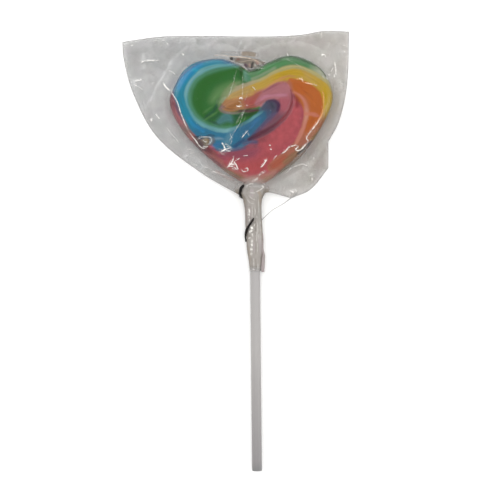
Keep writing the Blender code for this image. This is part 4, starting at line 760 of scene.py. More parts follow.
class SugarSettings(bpy.types.PropertyGroup):
    """Colours of the boiled sugar, and its relief."""

    red: colour("Red", "Field below the swirl", "#9E424A")
    scarlet: colour("Scarlet", "Bright red above the tip", "#A13E3E")
    coral: colour("Coral", "Lighter red", "#A8484D")
    crimson: colour("Crimson", "Deep red", "#803A4C")
    wine: colour("Wine", "Red shade in a seam", "#741422")
    maroon: colour("Maroon", "Lower part of that shade", "#55122C")
    plum: colour("Plum", "Dark end of that seam", "#360A36")
    rosewood: colour("Rosewood", "Top of the red strip at the left rim", "#7A3C46")
    dusty_rose: colour("Dusty rose", "Middle of that strip", "#985C60")
    taupe: colour("Taupe", "Its greyish part", "#7C625C")
    brick: colour("Brick", "Lower part of that strip", "#92524E")
    brown_red: colour("Brown red", "Its dark end", "#643036")
    rose_red: colour("Rose red", "Red start of the pink", "#974D41")
    pink: colour("Pink", "Bend in the middle", "#9A4D58")
    mauve: colour("Mauve", "Upper side of the bend", "#9D6067")
    lilac: colour("Lilac", "Pale line in the pink", "#B07285")
    mulberry: colour("Mulberry", "Dark end of the pink", "#6D3E4D")
    heather: colour("Heather", "Shade between blue and pink", "#4A4260")
    violet: colour("Violet", "Shade between blue and red", "#3B4162")
    orange: colour("Orange", "Right lobe", "#AA5713")
    burnt: colour("Burnt", "Dark orange", "#A34D05")
    ember: colour("Ember", "Red orange by the tip", "#9A462E")
    rust: colour("Rust", "Lower end of the orange", "#9B5B46")
    amber: colour("Amber", "Orange of the middle", "#B07F46")
    ochre: colour("Ochre", "Hook in the middle", "#9A6C44")
    umber_orange: colour("Umber orange", "Its dark part", "#88541C")
    honey: colour("Honey", "Between orange and yellow", "#A88A4D")
    peach: colour("Peach", "Pale line between red and orange", "#B4705E")
    petal: colour("Petal", "Its palest part", "#B8836E")
    rose: colour("Rose", "Its fork", "#B66B55")
    blush: colour("Blush", "Pale fringe of the hook", "#7C6260")
    yellow: colour("Yellow", "Band of the right lobe", "#AE8E34")
    gold: colour("Gold", "Deep yellow", "#AC8C05")
    mustard: colour("Mustard", "Lower part of the yellow", "#8E4A08")
    cream: colour("Cream", "Pale line over the yellow", "#A39A67")
    buff: colour("Buff", "Its pinkish start", "#9D9272")
    tan: colour("Tan", "Its green start", "#959470")
    olive_tan: colour("Olive tan", "Its right end", "#A19665")
    sand: colour("Sand", "Pale puckers", "#8F836E")
    # Painted shade on the rim, under the film
    brown: colour("Brown", "Toasted sugar at the rim", "#7C5E3E")
    # Brownish sugar at the tip and above the lower left rim
    clay: colour("Clay", "Toasted sugar at the tip", "#A27064")
    # Browner spots at the tip
    brown_spots: colour("Toast", "Browner spots on it", "#937457")
    # Painted shade on the right rim's fringe, and an olive spot in the crumple
    olive_brown: colour("Olive brown", "Fringe of the right rim", "#7A6428")
    # Painted shade on the rim at the lower right
    olive_grey: colour("Olive grey", "Rim at the lower right", "#6F6046")
    umber_grey: colour("Umber grey", "Crumple", "#5C524E")
    # Purple brown, and painted shade on the crumple's dark side
    prune: colour("Prune", "Dark side of the crumple", "#563E41")
    umber_red: colour("Umber red", "Shade under the hook", "#431120")
    # Painted shade in a line under the rim at the lower right
    rim_shade_line: colour("Soot", "Dark line at the lower right", "#0B0505")
    leaf_green: colour("Leaf green", "Rim of the right lobe", "#48794A")
    leaf_shade: colour("Leaf shade", "Its shaded outer side", "#406543")
    grey_green: colour("Grey green", "Pale end of the rim", "#989C86")
    mint: colour("Mint", "Light streak in the rim", "#43814B")
    # Dark green, and painted shade on the rim's outer edge
    dark_leaf: colour("Dark leaf", "Dark edge of the rim", "#0B3B05")
    green: colour("Green", "Left lobe", "#1B5E1C")
    deep_green: colour("Deep green", "Outer side of the left lobe", "#125805")
    bottle: colour("Bottle", "Dark streaks in the green", "#05432A")
    olive: colour("Olive", "Light middle of the green", "#517B44")
    sage: colour("Sage", "Pale green by the cream line", "#6F8359")
    sea: colour("Sea", "Teal patch in the green", "#3A6B70")
    jade: colour("Jade", "Halo between green and teal", "#407B5E")
    teal: colour("Teal", "Pale line between blue and green", "#589093")
    ice: colour("Ice", "Its palest parts", "#6D9DA1")
    turquoise: colour("Turquoise", "Gleam in the blue", "#0594AF")
    azure: colour("Azure", "Bright blue", "#007CAE")
    sky: colour("Sky", "Left rim", "#05778F")
    blue: colour("Blue", "Lower left", "#176483")
    cobalt: colour("Cobalt", "Deep blue", "#1F5978")
    bright_cobalt: colour("Bright cobalt", "Its light streaks", "#2A6794")
    deep_blue: colour("Deep blue", "Its darkest part", "#053965")
    mist: colour("Mist", "Pale bluish puckers", "#75909E")
    steel: colour("Steel", "Fan of light blue", "#4F7D8E")
    dark_teal: colour("Dark teal", "Upper side of the tail", "#3E4657")
    navy: colour("Navy", "Upper end of the tail", "#403B50")
    head: colour("Head", "Start of that end", "#3B4159")
    ink: colour("Ink", "Its darkest part", "#1F2D3C")
    # Painted shade on the blue's outer edge at the rim, and the dark start of the blue band
    dusk: colour("Dusk", "Dark edge of the blue", "#3E5078")
    voxel: length("Grain", "Face size of the sugar's surface", 0.26 * MM)


class FilmSettings(bpy.types.PropertyGroup):
    """The clear film of the bag."""

    tint: colour("Tint", "Colour of the film itself", "#71706F")
    over_candy: colour("Over the candy", "Tint where the film lies on the sugar", "#3A3836")
    warm_tint: colour("Warm tint", "Colour of the film on the right", "#7A6F62")
    edge: colour("Edge", "Cut edge of the film", "#6B6863")
    # Whitened film with a painted highlight, along sharp folds
    whitening_and_glint: colour("Crease", "Whitened sharp fold", "#F4F1EA")
    gather: colour("Gather", "Many layers gathered at the neck", "#A09A94")
    # Painted shade on the sides of the neck
    flank: colour("Flank", "Sides of the neck", "#786D60")
    loose: colour("Loose end", "Folded strip beside the neck", "#A09594")
    strand: colour("Strand", "Torn thread of film", "#A6A5A2")
    # Painted highlight on a fold over the notch
    beige: colour("Beige", "Light fold over the notch", "#B8A693")
    shade_beige: colour("Shaded beige", "Shade over the notch", "#7C7062")
    shade_olive: colour("Shaded olive", "Line of shade beside a fold", "#5A5347")
    putty: colour("Putty", "Crumpled film in the notch", "#665B50")
    dusty: colour("Dusty pink", "Sugar seen through gathered film", "#876A62")
    film_grey: colour("Film grey", "Thick film in the notch", "#97958F")
    teal_glare: colour("Teal glare", "Soft glare below the notch", "#86B3A6")
    # Painted highlight along a fold over the orange sugar
    orange_highlight: colour("Glow", "Bright line over the orange sugar", "#F2A25A")
    fold_taupe: colour("Taupe fold", "Left side of the neck", "#857A78")
    fold_brown: colour("Brown fold", "Right side of the neck's mouth", "#8A7C6B")
    fold_mauve: colour("Mauve fold", "Greyish purple folds of the neck", "#9E9495")
    # Painted shade in gaps between folds, beside the candy's rim and between the neck's folds
    umber: colour("Umber", "Dark gap between folds", "#120D0A")
    # Warmer painted shade in gaps between folds and by the candy's lower left rim
    russet: colour("Russet", "Warm gap between folds", "#5E382B")
    plum: colour("Plum", "Sugar seen through crumpled film", "#3A2232")
    bead: colour("Bead", "Drop of sugar on the rim", "#3A4A63")
    cover: share("Cover", "How much one layer of film hides", 0.37)
    candy_cover: share("Cover on the candy", "How much it hides where it clings to the sugar", 0.13)
    step: length("Step", "Face size of the film", 0.4 * MM)


class StickSettings(bpy.types.PropertyGroup):
    """The tube that the candy is held by."""

    body: colour("Body", "Where it leaves the film", "#9D9A99")
    middle: colour("Middle", "Half way down", "#9F9C9A")
    low: colour("Lower end", "Near its end", "#868383")
    tip: colour("Tip", "Cut end", "#757575")
    wall: length("Wall", "Thickness of the tube's wall", 0.8 * MM)


class TieSettings(bpy.types.PropertyGroup):
    """The dark tie at the neck."""

    body: colour("Body", "Lacquer", "#060302")
    worn: colour("Worn", "Scuffed lacquer", "#241810")
    clearance: length("Clearance", "Gap between the tie and the neck", 0.1 * MM)


class StudioSettings(bpy.types.PropertyGroup):
    """Floor, lights and camera."""

    floor: colour("Floor", "Pale sweep under the lollipop", "#FAFAF9")
    field: length("Field", "Width that the camera sees at the stick", 170.0 * MM)
    lens: bpy.props.FloatProperty(name="Lens", description="Focal length in mm", default=100.0, min=20.0)
    tent: bpy.props.FloatProperty(name="Tent", description="Light of the tent's sides", default=0.8, min=0.0)
    top: bpy.props.FloatProperty(name="Top", description="Light of the tent's top", default=0.22, min=0.0)


def smoothstep(value):
    """0 below 0, 1 above 1, and a smooth S between, for an array."""
    value = np.clip(value, 0.0, 1.0)
    return value * value * (3 - 2 * value)


def smooth_path(points, pieces):
    """Points on a smooth open curve through the given ones, with so many pieces between each two."""
    points = [Vector(p) for p in points]
    path = []
    for i in range(len(points) - 1):
        a, b = points[i], points[i + 1]
        before = points[i - 1] if i else a
        after = points[i + 2] if i + 2 < len(points) else b
        path += interpolate_bezier(a, a + (b - before) / 6, b - (after - a) / 6, b, pieces + 1)[:-1]
    return path + [points[-1]]


def smooth_loop(knots_mm, corners, step):
    """Points about step apart, in metres, on a closed curve through the knots, sharp only at the corners."""
    knots = [Vector(k) * MM for k in knots_mm]
    count = len(knots)
    loop = []
    for i, knot in enumerate(knots):
        following = knots[(i + 1) % count]
        reach = (following - knot).length / 3
        leave = following - knot if i in corners else following - knots[i - 1]
        arrive = following - knot if (i + 1) % count in corners else knots[(i + 2) % count] - knot
        handle_out = knot + leave.normalized() * reach
        handle_in = following - arrive.normalized() * reach
        pieces = max(2, round(3 * reach / step))
        loop += interpolate_bezier(knot, handle_out, handle_in, following, pieces + 1)[:-1]
    return np.array([p[:2] for p in loop])


def nearest_on_loop(places, loop):
    """For each place, the distance to the loop, less than 0 inside it, and the nearest point of the loop."""
    best = np.full(len(places), np.inf)
    nearest = np.zeros_like(places)
    inside = np.zeros(len(places), bool)
    for a, b in zip(loop, np.roll(loop, -1, axis=0)):
        side = b - a
        along = np.clip(((places - a) @ side) / (side @ side), 0.0, 1.0)
        foot = a + along[:, None] * side
        distance = np.linalg.norm(places - foot, axis=1)
        closer = distance < best
        best[closer] = distance[closer]
        nearest[closer] = foot[closer]
        crosses = (a[1] > places[:, 1]) != (b[1] > places[:, 1])
        height = side[1] if side[1] else 1.0
        inside ^= crosses & (places[:, 0] < a[0] + (places[:, 1] - a[1]) * side[0] / height)
    return np.where(inside, -best, best), nearest


def stroke_field(places, stations):
    """For each place, its distance outside a stroke, less than 0 inside it, and how far along the stroke."""
    path = np.array([p[:] for p in smooth_path(stations, 4)])
    best = np.full(len(places), np.inf)
    along = np.zeros(len(places))
    for i, (a, b) in enumerate(zip(path, path[1:])):
        side = b[:2] - a[:2]
        t = np.clip(((places - a[:2]) @ side) / (side @ side), 0.0, 1.0)
        foot = a[:2] + t[:, None] * side
        distance = np.linalg.norm(places - foot, axis=1) - (a[2] + (b[2] - a[2]) * t)
        closer = distance < best
        best[closer] = distance[closer]
        along[closer] = (i + t[closer]) / (len(path) - 1)
    return best, along


def mark_field(places, half_width, line):
    """The stroke field of a mark that is equally wide all along its line."""
    return stroke_field(places, [(*point, half_width) for point in line])


def in_sight(places, heights):
    """Where each place at its height, all in mm, is seen from above on the plane of the stick's axis."""
    middle = np.array(VIEW_MIDDLE_MM)
    growth = EYE_MM / (EYE_MM - (heights - MID_MM))
    return middle + (places - middle) * growth[:, None]


def soft_noise(places, size, seed):
    """Smooth noise from -1 to 1 with features of about the size, for each place."""
    return np.array([noise.noise((x / size, y / size, seed)) for x, y in places])


def blend(colours, shade, share):
    """The colours, each moved towards the shade by its share."""
    return colours + (np.array(shade[:]) - colours) * share[:, None]


def coordinates(mesh):
    """Places of the mesh's vertices, one to a row."""
    places = np.empty(len(mesh.vertices) * 3)
    mesh.vertices.foreach_get("co", places)
    return places.reshape(-1, 3)


def move_to(mesh, places):
    """Moves the mesh's vertices to the places."""
    mesh.vertices.foreach_set("co", places.ravel())
    mesh.update()


# Steps of edit mode that several pieces share
SELECT_ALL = (bpy.ops.mesh.select_all, {"action": "SELECT"})
MERGE_DOUBLES = (bpy.ops.mesh.remove_doubles, {"threshold": 0.001 * MM})
FACE_OUTWARDS = (bpy.ops.mesh.normals_make_consistent, {"inside": False})


def select_only(obj):
    """Makes the object the only selected one, and the active one."""
    bpy.ops.object.select_all(action="DESELECT")
    obj.select_set(True)
    bpy.context.view_layer.objects.active = obj


def select_vertices(mesh, wanted):
    """Selects just the wanted vertices, in object mode, for the edit mode that follows."""
    mesh.polygons.foreach_set("select", np.zeros(len(mesh.polygons), bool))
    mesh.edges.foreach_set("select", np.zeros(len(mesh.edges), bool))
    mesh.vertices.foreach_set("select", wanted)


def edit(obj, *steps):
    """Runs edit mode operators on the object, each as (operator, settings)."""
    select_only(obj)
    bpy.ops.object.mode_set(mode="EDIT")
    bpy.ops.mesh.select_mode(type="VERT")
    for operator, settings in steps:
        operator(**settings)
    bpy.ops.object.mode_set(mode="OBJECT")


def apply_modifier(obj, kind, **settings):
    """Adds a modifier with its settings and applies it."""
    select_only(obj)
    modifier = obj.modifiers.new(kind.lower(), kind)
    for key, value in settings.items():
        setattr(modifier, key, value)
    bpy.ops.object.modifier_apply(modifier=modifier.name)


def store(mesh, name, kind, values):
    """Stores a value for each vertex: kind is FLOAT, FLOAT_VECTOR or FLOAT_COLOR."""
    attribute = mesh.attributes.new(name, kind, "POINT")
    field = {"FLOAT": "value", "FLOAT_VECTOR": "vector", "FLOAT_COLOR": "color"}[kind]
    attribute.data.foreach_set(field, np.asarray(values, np.float32).ravel())


def keep(obj, name, material, slot, *nodes):
    """Names a finished piece, gives it its material, hangs it under the root body and hides the parts of the
    frame that it stands for.
    """
    obj.name = name
    obj.data.name = name
    obj.data.materials.clear()
    obj.data.materials.append(material)
    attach(obj, "root")
    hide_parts(*nodes)


def new_material(name, **values):
    """A material of one Principled shader, with values for its inputs, whose names have _ for a space."""
    made = bpy.data.materials.new(name)
    made.use_nodes = True
    tree = made.node_tree
    tree.nodes.clear()
    output = tree.nodes.new("ShaderNodeOutputMaterial")
    shader = tree.nodes.new("ShaderNodeBsdfPrincipled")
    tree.links.new(shader.outputs["BSDF"], output.inputs["Surface"])
    for key, value in values.items():
        shader.inputs[key.replace("_", " ")].default_value = value
    return made, tree, shader


def add_node(tree, kind, inputs=None, **settings):
    """Adds a node with its settings. An input is a number, a colour or another node's output."""
    node = tree.nodes.new(kind)
    for key, value in settings.items():
        setattr(node, key, value)
    for key, value in (inputs or {}).items():
        if isinstance(value, bpy.types.NodeSocket):
            tree.links.new(value, node.inputs[key])
        else:
            node.inputs[key].default_value = value
    return node


def add_place(tree):
    """The place on the object."""
    return add_node(tree, "ShaderNodeTexCoord").outputs["Object"]


def add_attribute(tree, name, output):
    """What is stored at each vertex under the name."""
    return add_node(tree, "ShaderNodeAttribute", attribute_name=name).outputs[output]


def add_noise(tree, vector, scale, detail, **inputs):
    """Noise from 0 to 1."""
    inputs = {"Vector": vector, "Scale": scale, "Detail": detail, **inputs}
    return add_node(tree, "ShaderNodeTexNoise", inputs).outputs["Fac"]


def add_range(tree, value, low, high, start=0.3, end=0.7, **settings):
    """Low where the value is at its start and high at its end, which are set for a noise."""
    inputs = {"Value": value, "From Min": start, "From Max": end, "To Min": low, "To Max": high}
    return add_node(tree, "ShaderNodeMapRange", inputs, **settings).outputs["Result"]


def add_maths(tree, operation, *values, **settings):
    """The result of an operation on numbers or outputs."""
    inputs = dict(enumerate(values))
    return add_node(tree, "ShaderNodeMath", inputs, operation=operation, **settings).outputs["Value"]


def add_shading(tree, painted, factor):
    """A colour made lighter or darker by a factor."""
    inputs = {0: painted, "Scale": factor}
    return add_node(tree, "ShaderNodeVectorMath", inputs, operation="SCALE").outputs["Vector"]


def add_ramp(tree, factor, shades):
    """Colours spread along the factor. The first two of the (position, colour) pairs are its ends."""
    ramp = add_node(tree, "ShaderNodeValToRGB", {"Fac": factor})
    stops = ramp.color_ramp.elements
    for i, (position, shade) in enumerate(shades):
        stop = stops[i] if i < 2 else stops.new(position)
        stop.position, stop.color = position, (*shade, 1.0)
    return ramp.outputs["Color"]


def add_bump(tree, height, strength, distance):
    """A normal tilted by the height's relief."""
    inputs = {"Height": height, "Strength": strength, "Distance": distance}
    return add_node(tree, "ShaderNodeBump", inputs).outputs["Normal"]


def connect(tree, shader, **sources):
    """Links outputs to the shader's inputs, whose names are given with _ for a space."""
    for key, source in sources.items():
        tree.links.new(source, shader.inputs[key.replace("_", " ")])


# ---------------------------------------------------------------- candy


def sugar_material():
    """Pulled and pressed boiled sugar: glassy, a little milky, with fine fibres along the rope."""
    made, tree, shader = new_material(
        "pulled_boiled_sugar",
        Roughness=0.28,
        IOR=1.52,
        Subsurface_Weight=0.12,
        Subsurface_Radius=(1.0, 0.6, 0.4),
        Subsurface_Scale=0.6 * MM,
    )
    # Fibres about 0.4 mm apart across the rope and 10 mm long along it
    fibres = add_noise(tree, add_attribute(tree, "rope_flow", "Vector"), 1.0, 3.0, Roughness=0.6)
    painted = add_attribute(tree, "rope_colour", "Color")
    shaded = add_shading(tree, painted, add_range(tree, fibres, 0.84, 1.14))
    ripple = add_noise(tree, add_place(tree), 260.0, 3.0, Roughness=0.55)
    connect(tree, shader, Base_Color=shaded, Normal=add_bump(tree, ripple, 0.35, 0.25 * MM))
    return made


def paint_rope(places, sugar):
    """Colour of the sugar at each place, and a place along and across the rope for its fibres."""
    colours = np.tile(np.array(sugar.red[:]), (len(places), 1))
    flow = np.column_stack([places * 0.6, np.zeros(len(places))])
    wander = 0.18 * np.column_stack([soft_noise(places, 4.0, seed) for seed in (1.0, 2.0)])
    wander += 0.1 * np.column_stack([soft_noise(places, 1.3, seed) for seed in (3.0, 4.0)])
    fields = [stroke_field(places + wander, stroke[3]) for stroke in ROPE_STROKES_MM]
    # Wide bands first, so that no red shows between neighbours, and then the strokes themselves
    for spread, (names, softness, strength, _), (outside, along) in (
        *((UNDERPAINT_MM, *pair) for pair in zip(ROPE_STROKES_MM, fields) if pair[0][2] == 1.0),
        *((0.0, *pair) for pair in zip(ROPE_STROKES_MM, fields)),
    ):
        shades = np.array([getattr(sugar, name)[:] for name in names.split()])
        stops = np.linspace(0.0, 1.0, len(shades))
        shade = np.column_stack([np.interp(along, stops, shades[:, k]) for k in range(3)])
        cover = strength * smoothstep(0.5 - (outside - spread) / (softness * 1.5))
        colours += (shade - colours) * cover[:, None]
    for layer, ((_, _, strength, stations), (outside, along)) in enumerate(zip(ROPE_STROKES_MM, fields)):
        inside = (outside < 0) & (strength > 0.8)
        length_mm = sum((Vector(b[:2]) - Vector(a[:2])).length for a, b in zip(stations, stations[1:]))
        ways = (along * length_mm * 0.1, outside * 2.4, np.full(len(places), layer * 7.0))
        flow[inside] = np.column_stack(ways)[inside]
    return colours, flow


class LOLLY_OT_candy(bpy.types.Operator):
    """Models the pressed candy heart with its folded rope of colours"""

    bl_idname = "lolly.candy"
    bl_label = "Candy Heart"

    def execute(self, context):
        sugar = context.scene.lolly_sugar
        bpy.ops.object.select_all(action="DESELECT")
        candy = NODES["candy_heart"].copy()
        candy.data = NODES["candy_heart"].data.copy()
        candy.parent = None
        context.collection.objects.link(candy)
        for key in list(candy.keys()):
            del candy[key]
        edit(candy, SELECT_ALL, (bpy.ops.mesh.remove_doubles, {"threshold": 0.002 * MM}))
        candy.data.remesh_voxel_size = sugar.voxel
        bpy.ops.object.voxel_remesh()
        apply_modifier(candy, "SMOOTH", factor=0.5, iterations=6)
        places = coordinates(candy.data)
        colours, flow = paint_rope(in_sight(places[:, :2] / MM, places[:, 2] / MM), sugar)
        bpy.ops.object.shade_smooth()
        store(candy.data, "rope_colour", "FLOAT_COLOR", np.column_stack([colours, np.ones(len(colours))]))
        store(candy.data, "rope_flow", "FLOAT_VECTOR", flow)
        keep(candy, "candy", sugar_material(), "boiled_sugar", "candy_heart")
        return {"FINISHED"}


# ---------------------------------------------------------------- film

# The pouch lies flat over the candy, slopes down past the rim and ends as two sheets pressed together, in mm
FILM_TOP_MM = 6.65
FILM_UNDER_MM = 0.12
TENT_SHOULDER_MM = 2.2
TENT_REACH_MM = (1.2, 6.0)
TENT_REACH_SHARE = 0.8
TENT_RAMP_MM = 4.0
PULL_COUNT = 34
CANDY_RADIUS_MM = 24.0
FIN_SAG_MM = 1.0
FIN_WAVE_MM = 0.5
FIN_WAVE_LENGTH_MM = 31.0
FIN_LOWEST_MM = 0.45
SHEET_GAP_MM = 0.12
FOLDED_COVER = 0.62
FOLD_LIFT_MM = 0.18


def neck_section(y_mm):
    """Middle x, half width and half height of the neck at each y, eased from station to station."""
    stations = np.array(NECK_STATIONS_MM)[::-1]
    below = np.clip(np.searchsorted(stations[:, 0], y_mm) - 1, 0, len(stations) - 2)
    low, high = stations[below], stations[below + 1]
    share = smoothstep((y_mm - low[:, 0]) / (high[:, 0] - low[:, 0]))[:, None]
    left, right, half_height = (low[:, 1:] + (high[:, 1:] - low[:, 1:]) * share).T
    return (left + right) / 2, (right - left) / 2, half_height


def ridges(places, spacing, seed):
    """For each place, 1 on the edges of random cells so far apart, falling to 0 within them."""
    random = np.random.default_rng(seed)
    low, high = places.min(axis=0) - spacing, places.max(axis=0) + spacing
    count = int(np.prod((high - low) / spacing))
    tree = kdtree.KDTree(count)
    for i, point in enumerate(random.uniform(low, high, (count, 2))):
        tree.insert((*point, 0.0), i)
    tree.balance()
    found = [tree.find_n((x, y, 0.0), 2) for x, y in places]
    gaps = np.array([second[2] - first[2] for first, second in found])
    return np.exp(-gaps / (spacing * 0.09))


def neck_pleats(angle, y):
    """Relief of the neck's twisted folds, as a share of its radius, at each angle round it and y in mm."""
    round_it = list(zip(np.cos(angle), np.sin(angle), y))
    folds = 0.05 * (1 - np.abs(np.sin(4.5 * angle + 0.17 * y + 0.6 * np.sin(0.4 * y)))) ** 2
    folds += 0.04 * (1 - np.abs(np.sin(7.5 * angle - 0.11 * y + 0.5 * np.sin(0.7 * y)))) ** 4
    folds += 0.07 * np.array([noise.noise((c * 1.6, s * 1.6, v * 0.28)) for c, s, v in round_it])
    return folds + 0.03 * np.array([noise.noise((c * 5.0, s * 5.0, v * 0.7)) for c, s, v in round_it]) - 0.02


def pouch_heights(places, side, heart, bag):
    """Height of the film at each place, in mm: side is 1 for the shown sheet and -1 for the back one."""
    x, y = places.T
    beyond, rim = nearest_on_loop(places, heart)
    inset = np.maximum(-nearest_on_loop(places, bag)[0], 0.0)
    reach = np.clip(TENT_REACH_SHARE * (np.maximum(beyond, 0.0) + inset), *TENT_REACH_MM)
    reach *= 1 + 0.3 * soft_noise(places, 9.0, 12.0)
    slope = smoothstep((beyond + TENT_SHOULDER_MM) / (reach + TENT_SHOULDER_MM))
    ramp = 1 - np.exp(-np.maximum(beyond, 0.0) / TENT_RAMP_MM)
    wave = np.sin(math.tau * (x + 0.6 * y) / FIN_WAVE_LENGTH_MM)
    # Pulls that fan out from the candy's rim
    turn = np.arctan2(rim[:, 1] - CANDY_CENTRE_MM[1], rim[:, 0] - CANDY_CENTRE_MM[0])
    random = np.random.default_rng(11)
    pulls = np.zeros(len(places))
    for centre in random.uniform(-math.pi, math.pi, PULL_COUNT):
        away = np.abs((turn - centre + math.pi) % math.tau - math.pi) * CANDY_RADIUS_MM
        width, start, end, lift = random.uniform((0.25, 0.0, 4.0, 0.12), (0.7, 2.0, 14.0, 0.42))
        fades = smoothstep((beyond - start) / 2.0) * smoothstep((end - beyond) / 4.0)
        pulls += lift * np.exp(-away / width) * fades
    edge = smoothstep(inset / 1.6)
    loose = 0.35 * soft_noise(places, 7.0, 3.1) + 0.14 * ridges(places, 8.5, 5) * edge
    fin = MID_MM - ramp * (FIN_SAG_MM - FIN_WAVE_MM * wave)
    fin = np.maximum(fin + (loose + pulls - 0.15) * ramp * (0.3 + 0.7 * edge), FIN_LOWEST_MM)
    puff = 0.3 * np.maximum(0.0, soft_noise(places, 5.0, 8.0 + side))
    half_fin = (SHEET_GAP_MM + puff) * (1 - np.exp(-inset / 0.6))
    flat = (FILM_TOP_MM - FILM_UNDER_MM) / 2
    # The pouch swells into the neck
    middle_x, half_width, half_height = neck_section(y)
    across = np.clip((x - middle_x) / half_width, -1.0, 1.0)
    in_neck = smoothstep((-22.5 - y) / 4.0)
    pleats = neck_pleats(side * np.arccos(across), y)
    swell = half_height * np.sqrt(1 - across**2) * smoothstep((-18.0 - y) / 6.5) * (1 + pleats * in_neck)
    half = flat + (half_fin - flat) * slope
    half = 0.5 * (half + swell + np.sqrt((half - swell) ** 2 + 0.3 * (1 - in_neck) ** 2))
    half *= 1 - np.exp(-inset / (0.25 - 0.2 * in_neck))
    middle = MID_MM + (fin - MID_MM) * slope * (1 - smoothstep(swell / 1.2)) * (1 - in_neck)
    crinkled = smoothstep(soft_noise(places, 9.0, 4.0 + side) * 2.0)
    crinkle = 0.1 * ridges(places, 3.4, 21 + int(side)) * crinkled
    own = (crinkle * (1 - in_neck) + 0.06 * soft_noise(places, 2.2, 6.0 + side)) * edge
    return middle + side * (half + own * (0.35 + 0.65 * slope))


def bag_outline(step):
    """The outline of the bag and its neck as one closed loop, in metres."""
    shown = [station for station in NECK_STATIONS_MM if station[0] < NECK_SHOWS_BELOW_MM]
    right = [(x, y) for y, _, x, _ in shown]
    left = [(x, y) for y, x, _, _ in reversed(shown)]
    knots = BAG_KNOTS_MM[:NECK_STARTS_AFTER] + right + left + BAG_KNOTS_MM[NECK_STARTS_AFTER:]
    last = NECK_STARTS_AFTER + len(right)
    return smooth_loop(knots, BAG_CORNERS | {last - 1, last}, step)


def film_sheet(film, bag):
    """One flat sheet of film, cut to the bag's outline, as a grid of faces."""
    step = film.step
    low, high = bag.min(axis=0) - step, bag.max(axis=0) + step
    size = high - low
    columns, rows = (int(math.ceil(side / step)) for side in size)
    bpy.ops.object.select_all(action="DESELECT")
    bpy.ops.mesh.primitive_grid_add(x_subdivisions=columns, y_subdivisions=rows, size=1.0)
    sheet = bpy.context.object
    mesh = sheet.data
    places = coordinates(mesh)
    places[:, :2] = low + (places[:, :2] + 0.5) * size
    outside = nearest_on_loop(places[:, :2], bag)[0]
    move_to(mesh, places)
    select_vertices(mesh, outside > 0.35 * step)
    edit(sheet, (bpy.ops.mesh.delete, {"type": "VERT"}))
    edit(sheet, SELECT_ALL, (bpy.ops.mesh.region_to_loop, {}))
    places = coordinates(mesh)
    on_rim = np.zeros(len(mesh.vertices), bool)
    mesh.vertices.foreach_get("select", on_rim)
    nearest = nearest_on_loop(places[:, :2], bag)[1]
    places[on_rim, :2] = nearest[on_rim]
    for corner in (np.array(BAG_KNOTS_MM[i]) * MM for i in BAG_CORNERS):
        away = np.linalg.norm(places[:, :2] - corner, axis=1)
        places[np.argmin(np.where(on_rim, away, np.inf)), :2] = corner
    move_to(mesh, places)
    return sheet, on_rim


def near_marks(places):
    """Distance in mm from each place to the nearest mark on the film."""
    marks = FOLD_MARKS_MM + SHADE_MARKS_MM
    return np.minimum.reduce([mark_field(places, half_width, line)[0] for _, half_width, _, line in marks])


def rolled_tube(around, along, shape):
    """A closed tube: a grid rolled up and placed by shape(angle, share along) in mm, its ends filled."""
    bpy.ops.object.select_all(action="DESELECT")
    bpy.ops.mesh.primitive_grid_add(x_subdivisions=around, y_subdivisions=along, size=1.0)
    tube = bpy.context.object
    places = coordinates(tube.data)
    move_to(tube.data, shape(-(places[:, 0] + 0.5) * math.tau, places[:, 1] + 0.5) * MM)
    edit(
        tube,
        SELECT_ALL,
        MERGE_DOUBLES,
        (bpy.ops.mesh.select_all, {"action": "DESELECT"}),
        (bpy.ops.mesh.select_non_manifold, {}),
        (bpy.ops.mesh.fill, {}),
        SELECT_ALL,
        FACE_OUTWARDS,
    )
    return tube


def loose_end_shape(angle, share):
    """The folded strip that stands off the right of the neck."""
    stations = np.array(LOOSE_END_STATIONS_MM)
    key = share * (len(stations) - 1)
    steps = range(len(stations))
    y, middle, half_width, half_height = (np.interp(key, steps, column) for column in stations.T)
    fold = 1 + 0.16 * np.cos(3 * angle + 0.5 * y) + 0.06 * np.sin(7 * angle - 1.3 * y)
    x = middle + half_width * fold * np.cos(angle) + 0.12 * np.sin(0.9 * y)
    return np.column_stack([x, y, MID_MM + half_height * fold * np.sin(angle)])


def swept(points, radii):
    """A round bar along the points, so thick at each, as a closed mesh."""
    curve = bpy.data.curves.new("sweep", "CURVE")
    curve.dimensions = "3D"
    curve.bevel_depth = 1.0
    curve.bevel_resolution = 6
    curve.use_fill_caps = True
    spline = curve.splines.new("POLY")
    spline.points.add(len(points) - 1)
    for target, point, radius in zip(spline.points, points, radii):
        target.co = (*point, 1.0)
        target.radius = radius
    swept_object = bpy.data.objects.new("sweep", curve)
    bpy.context.collection.objects.link(swept_object)
    select_only(swept_object)
    bpy.ops.object.convert(target="MESH")
    edit(swept_object, SELECT_ALL, MERGE_DOUBLES, FACE_OUTWARDS)
    return swept_object


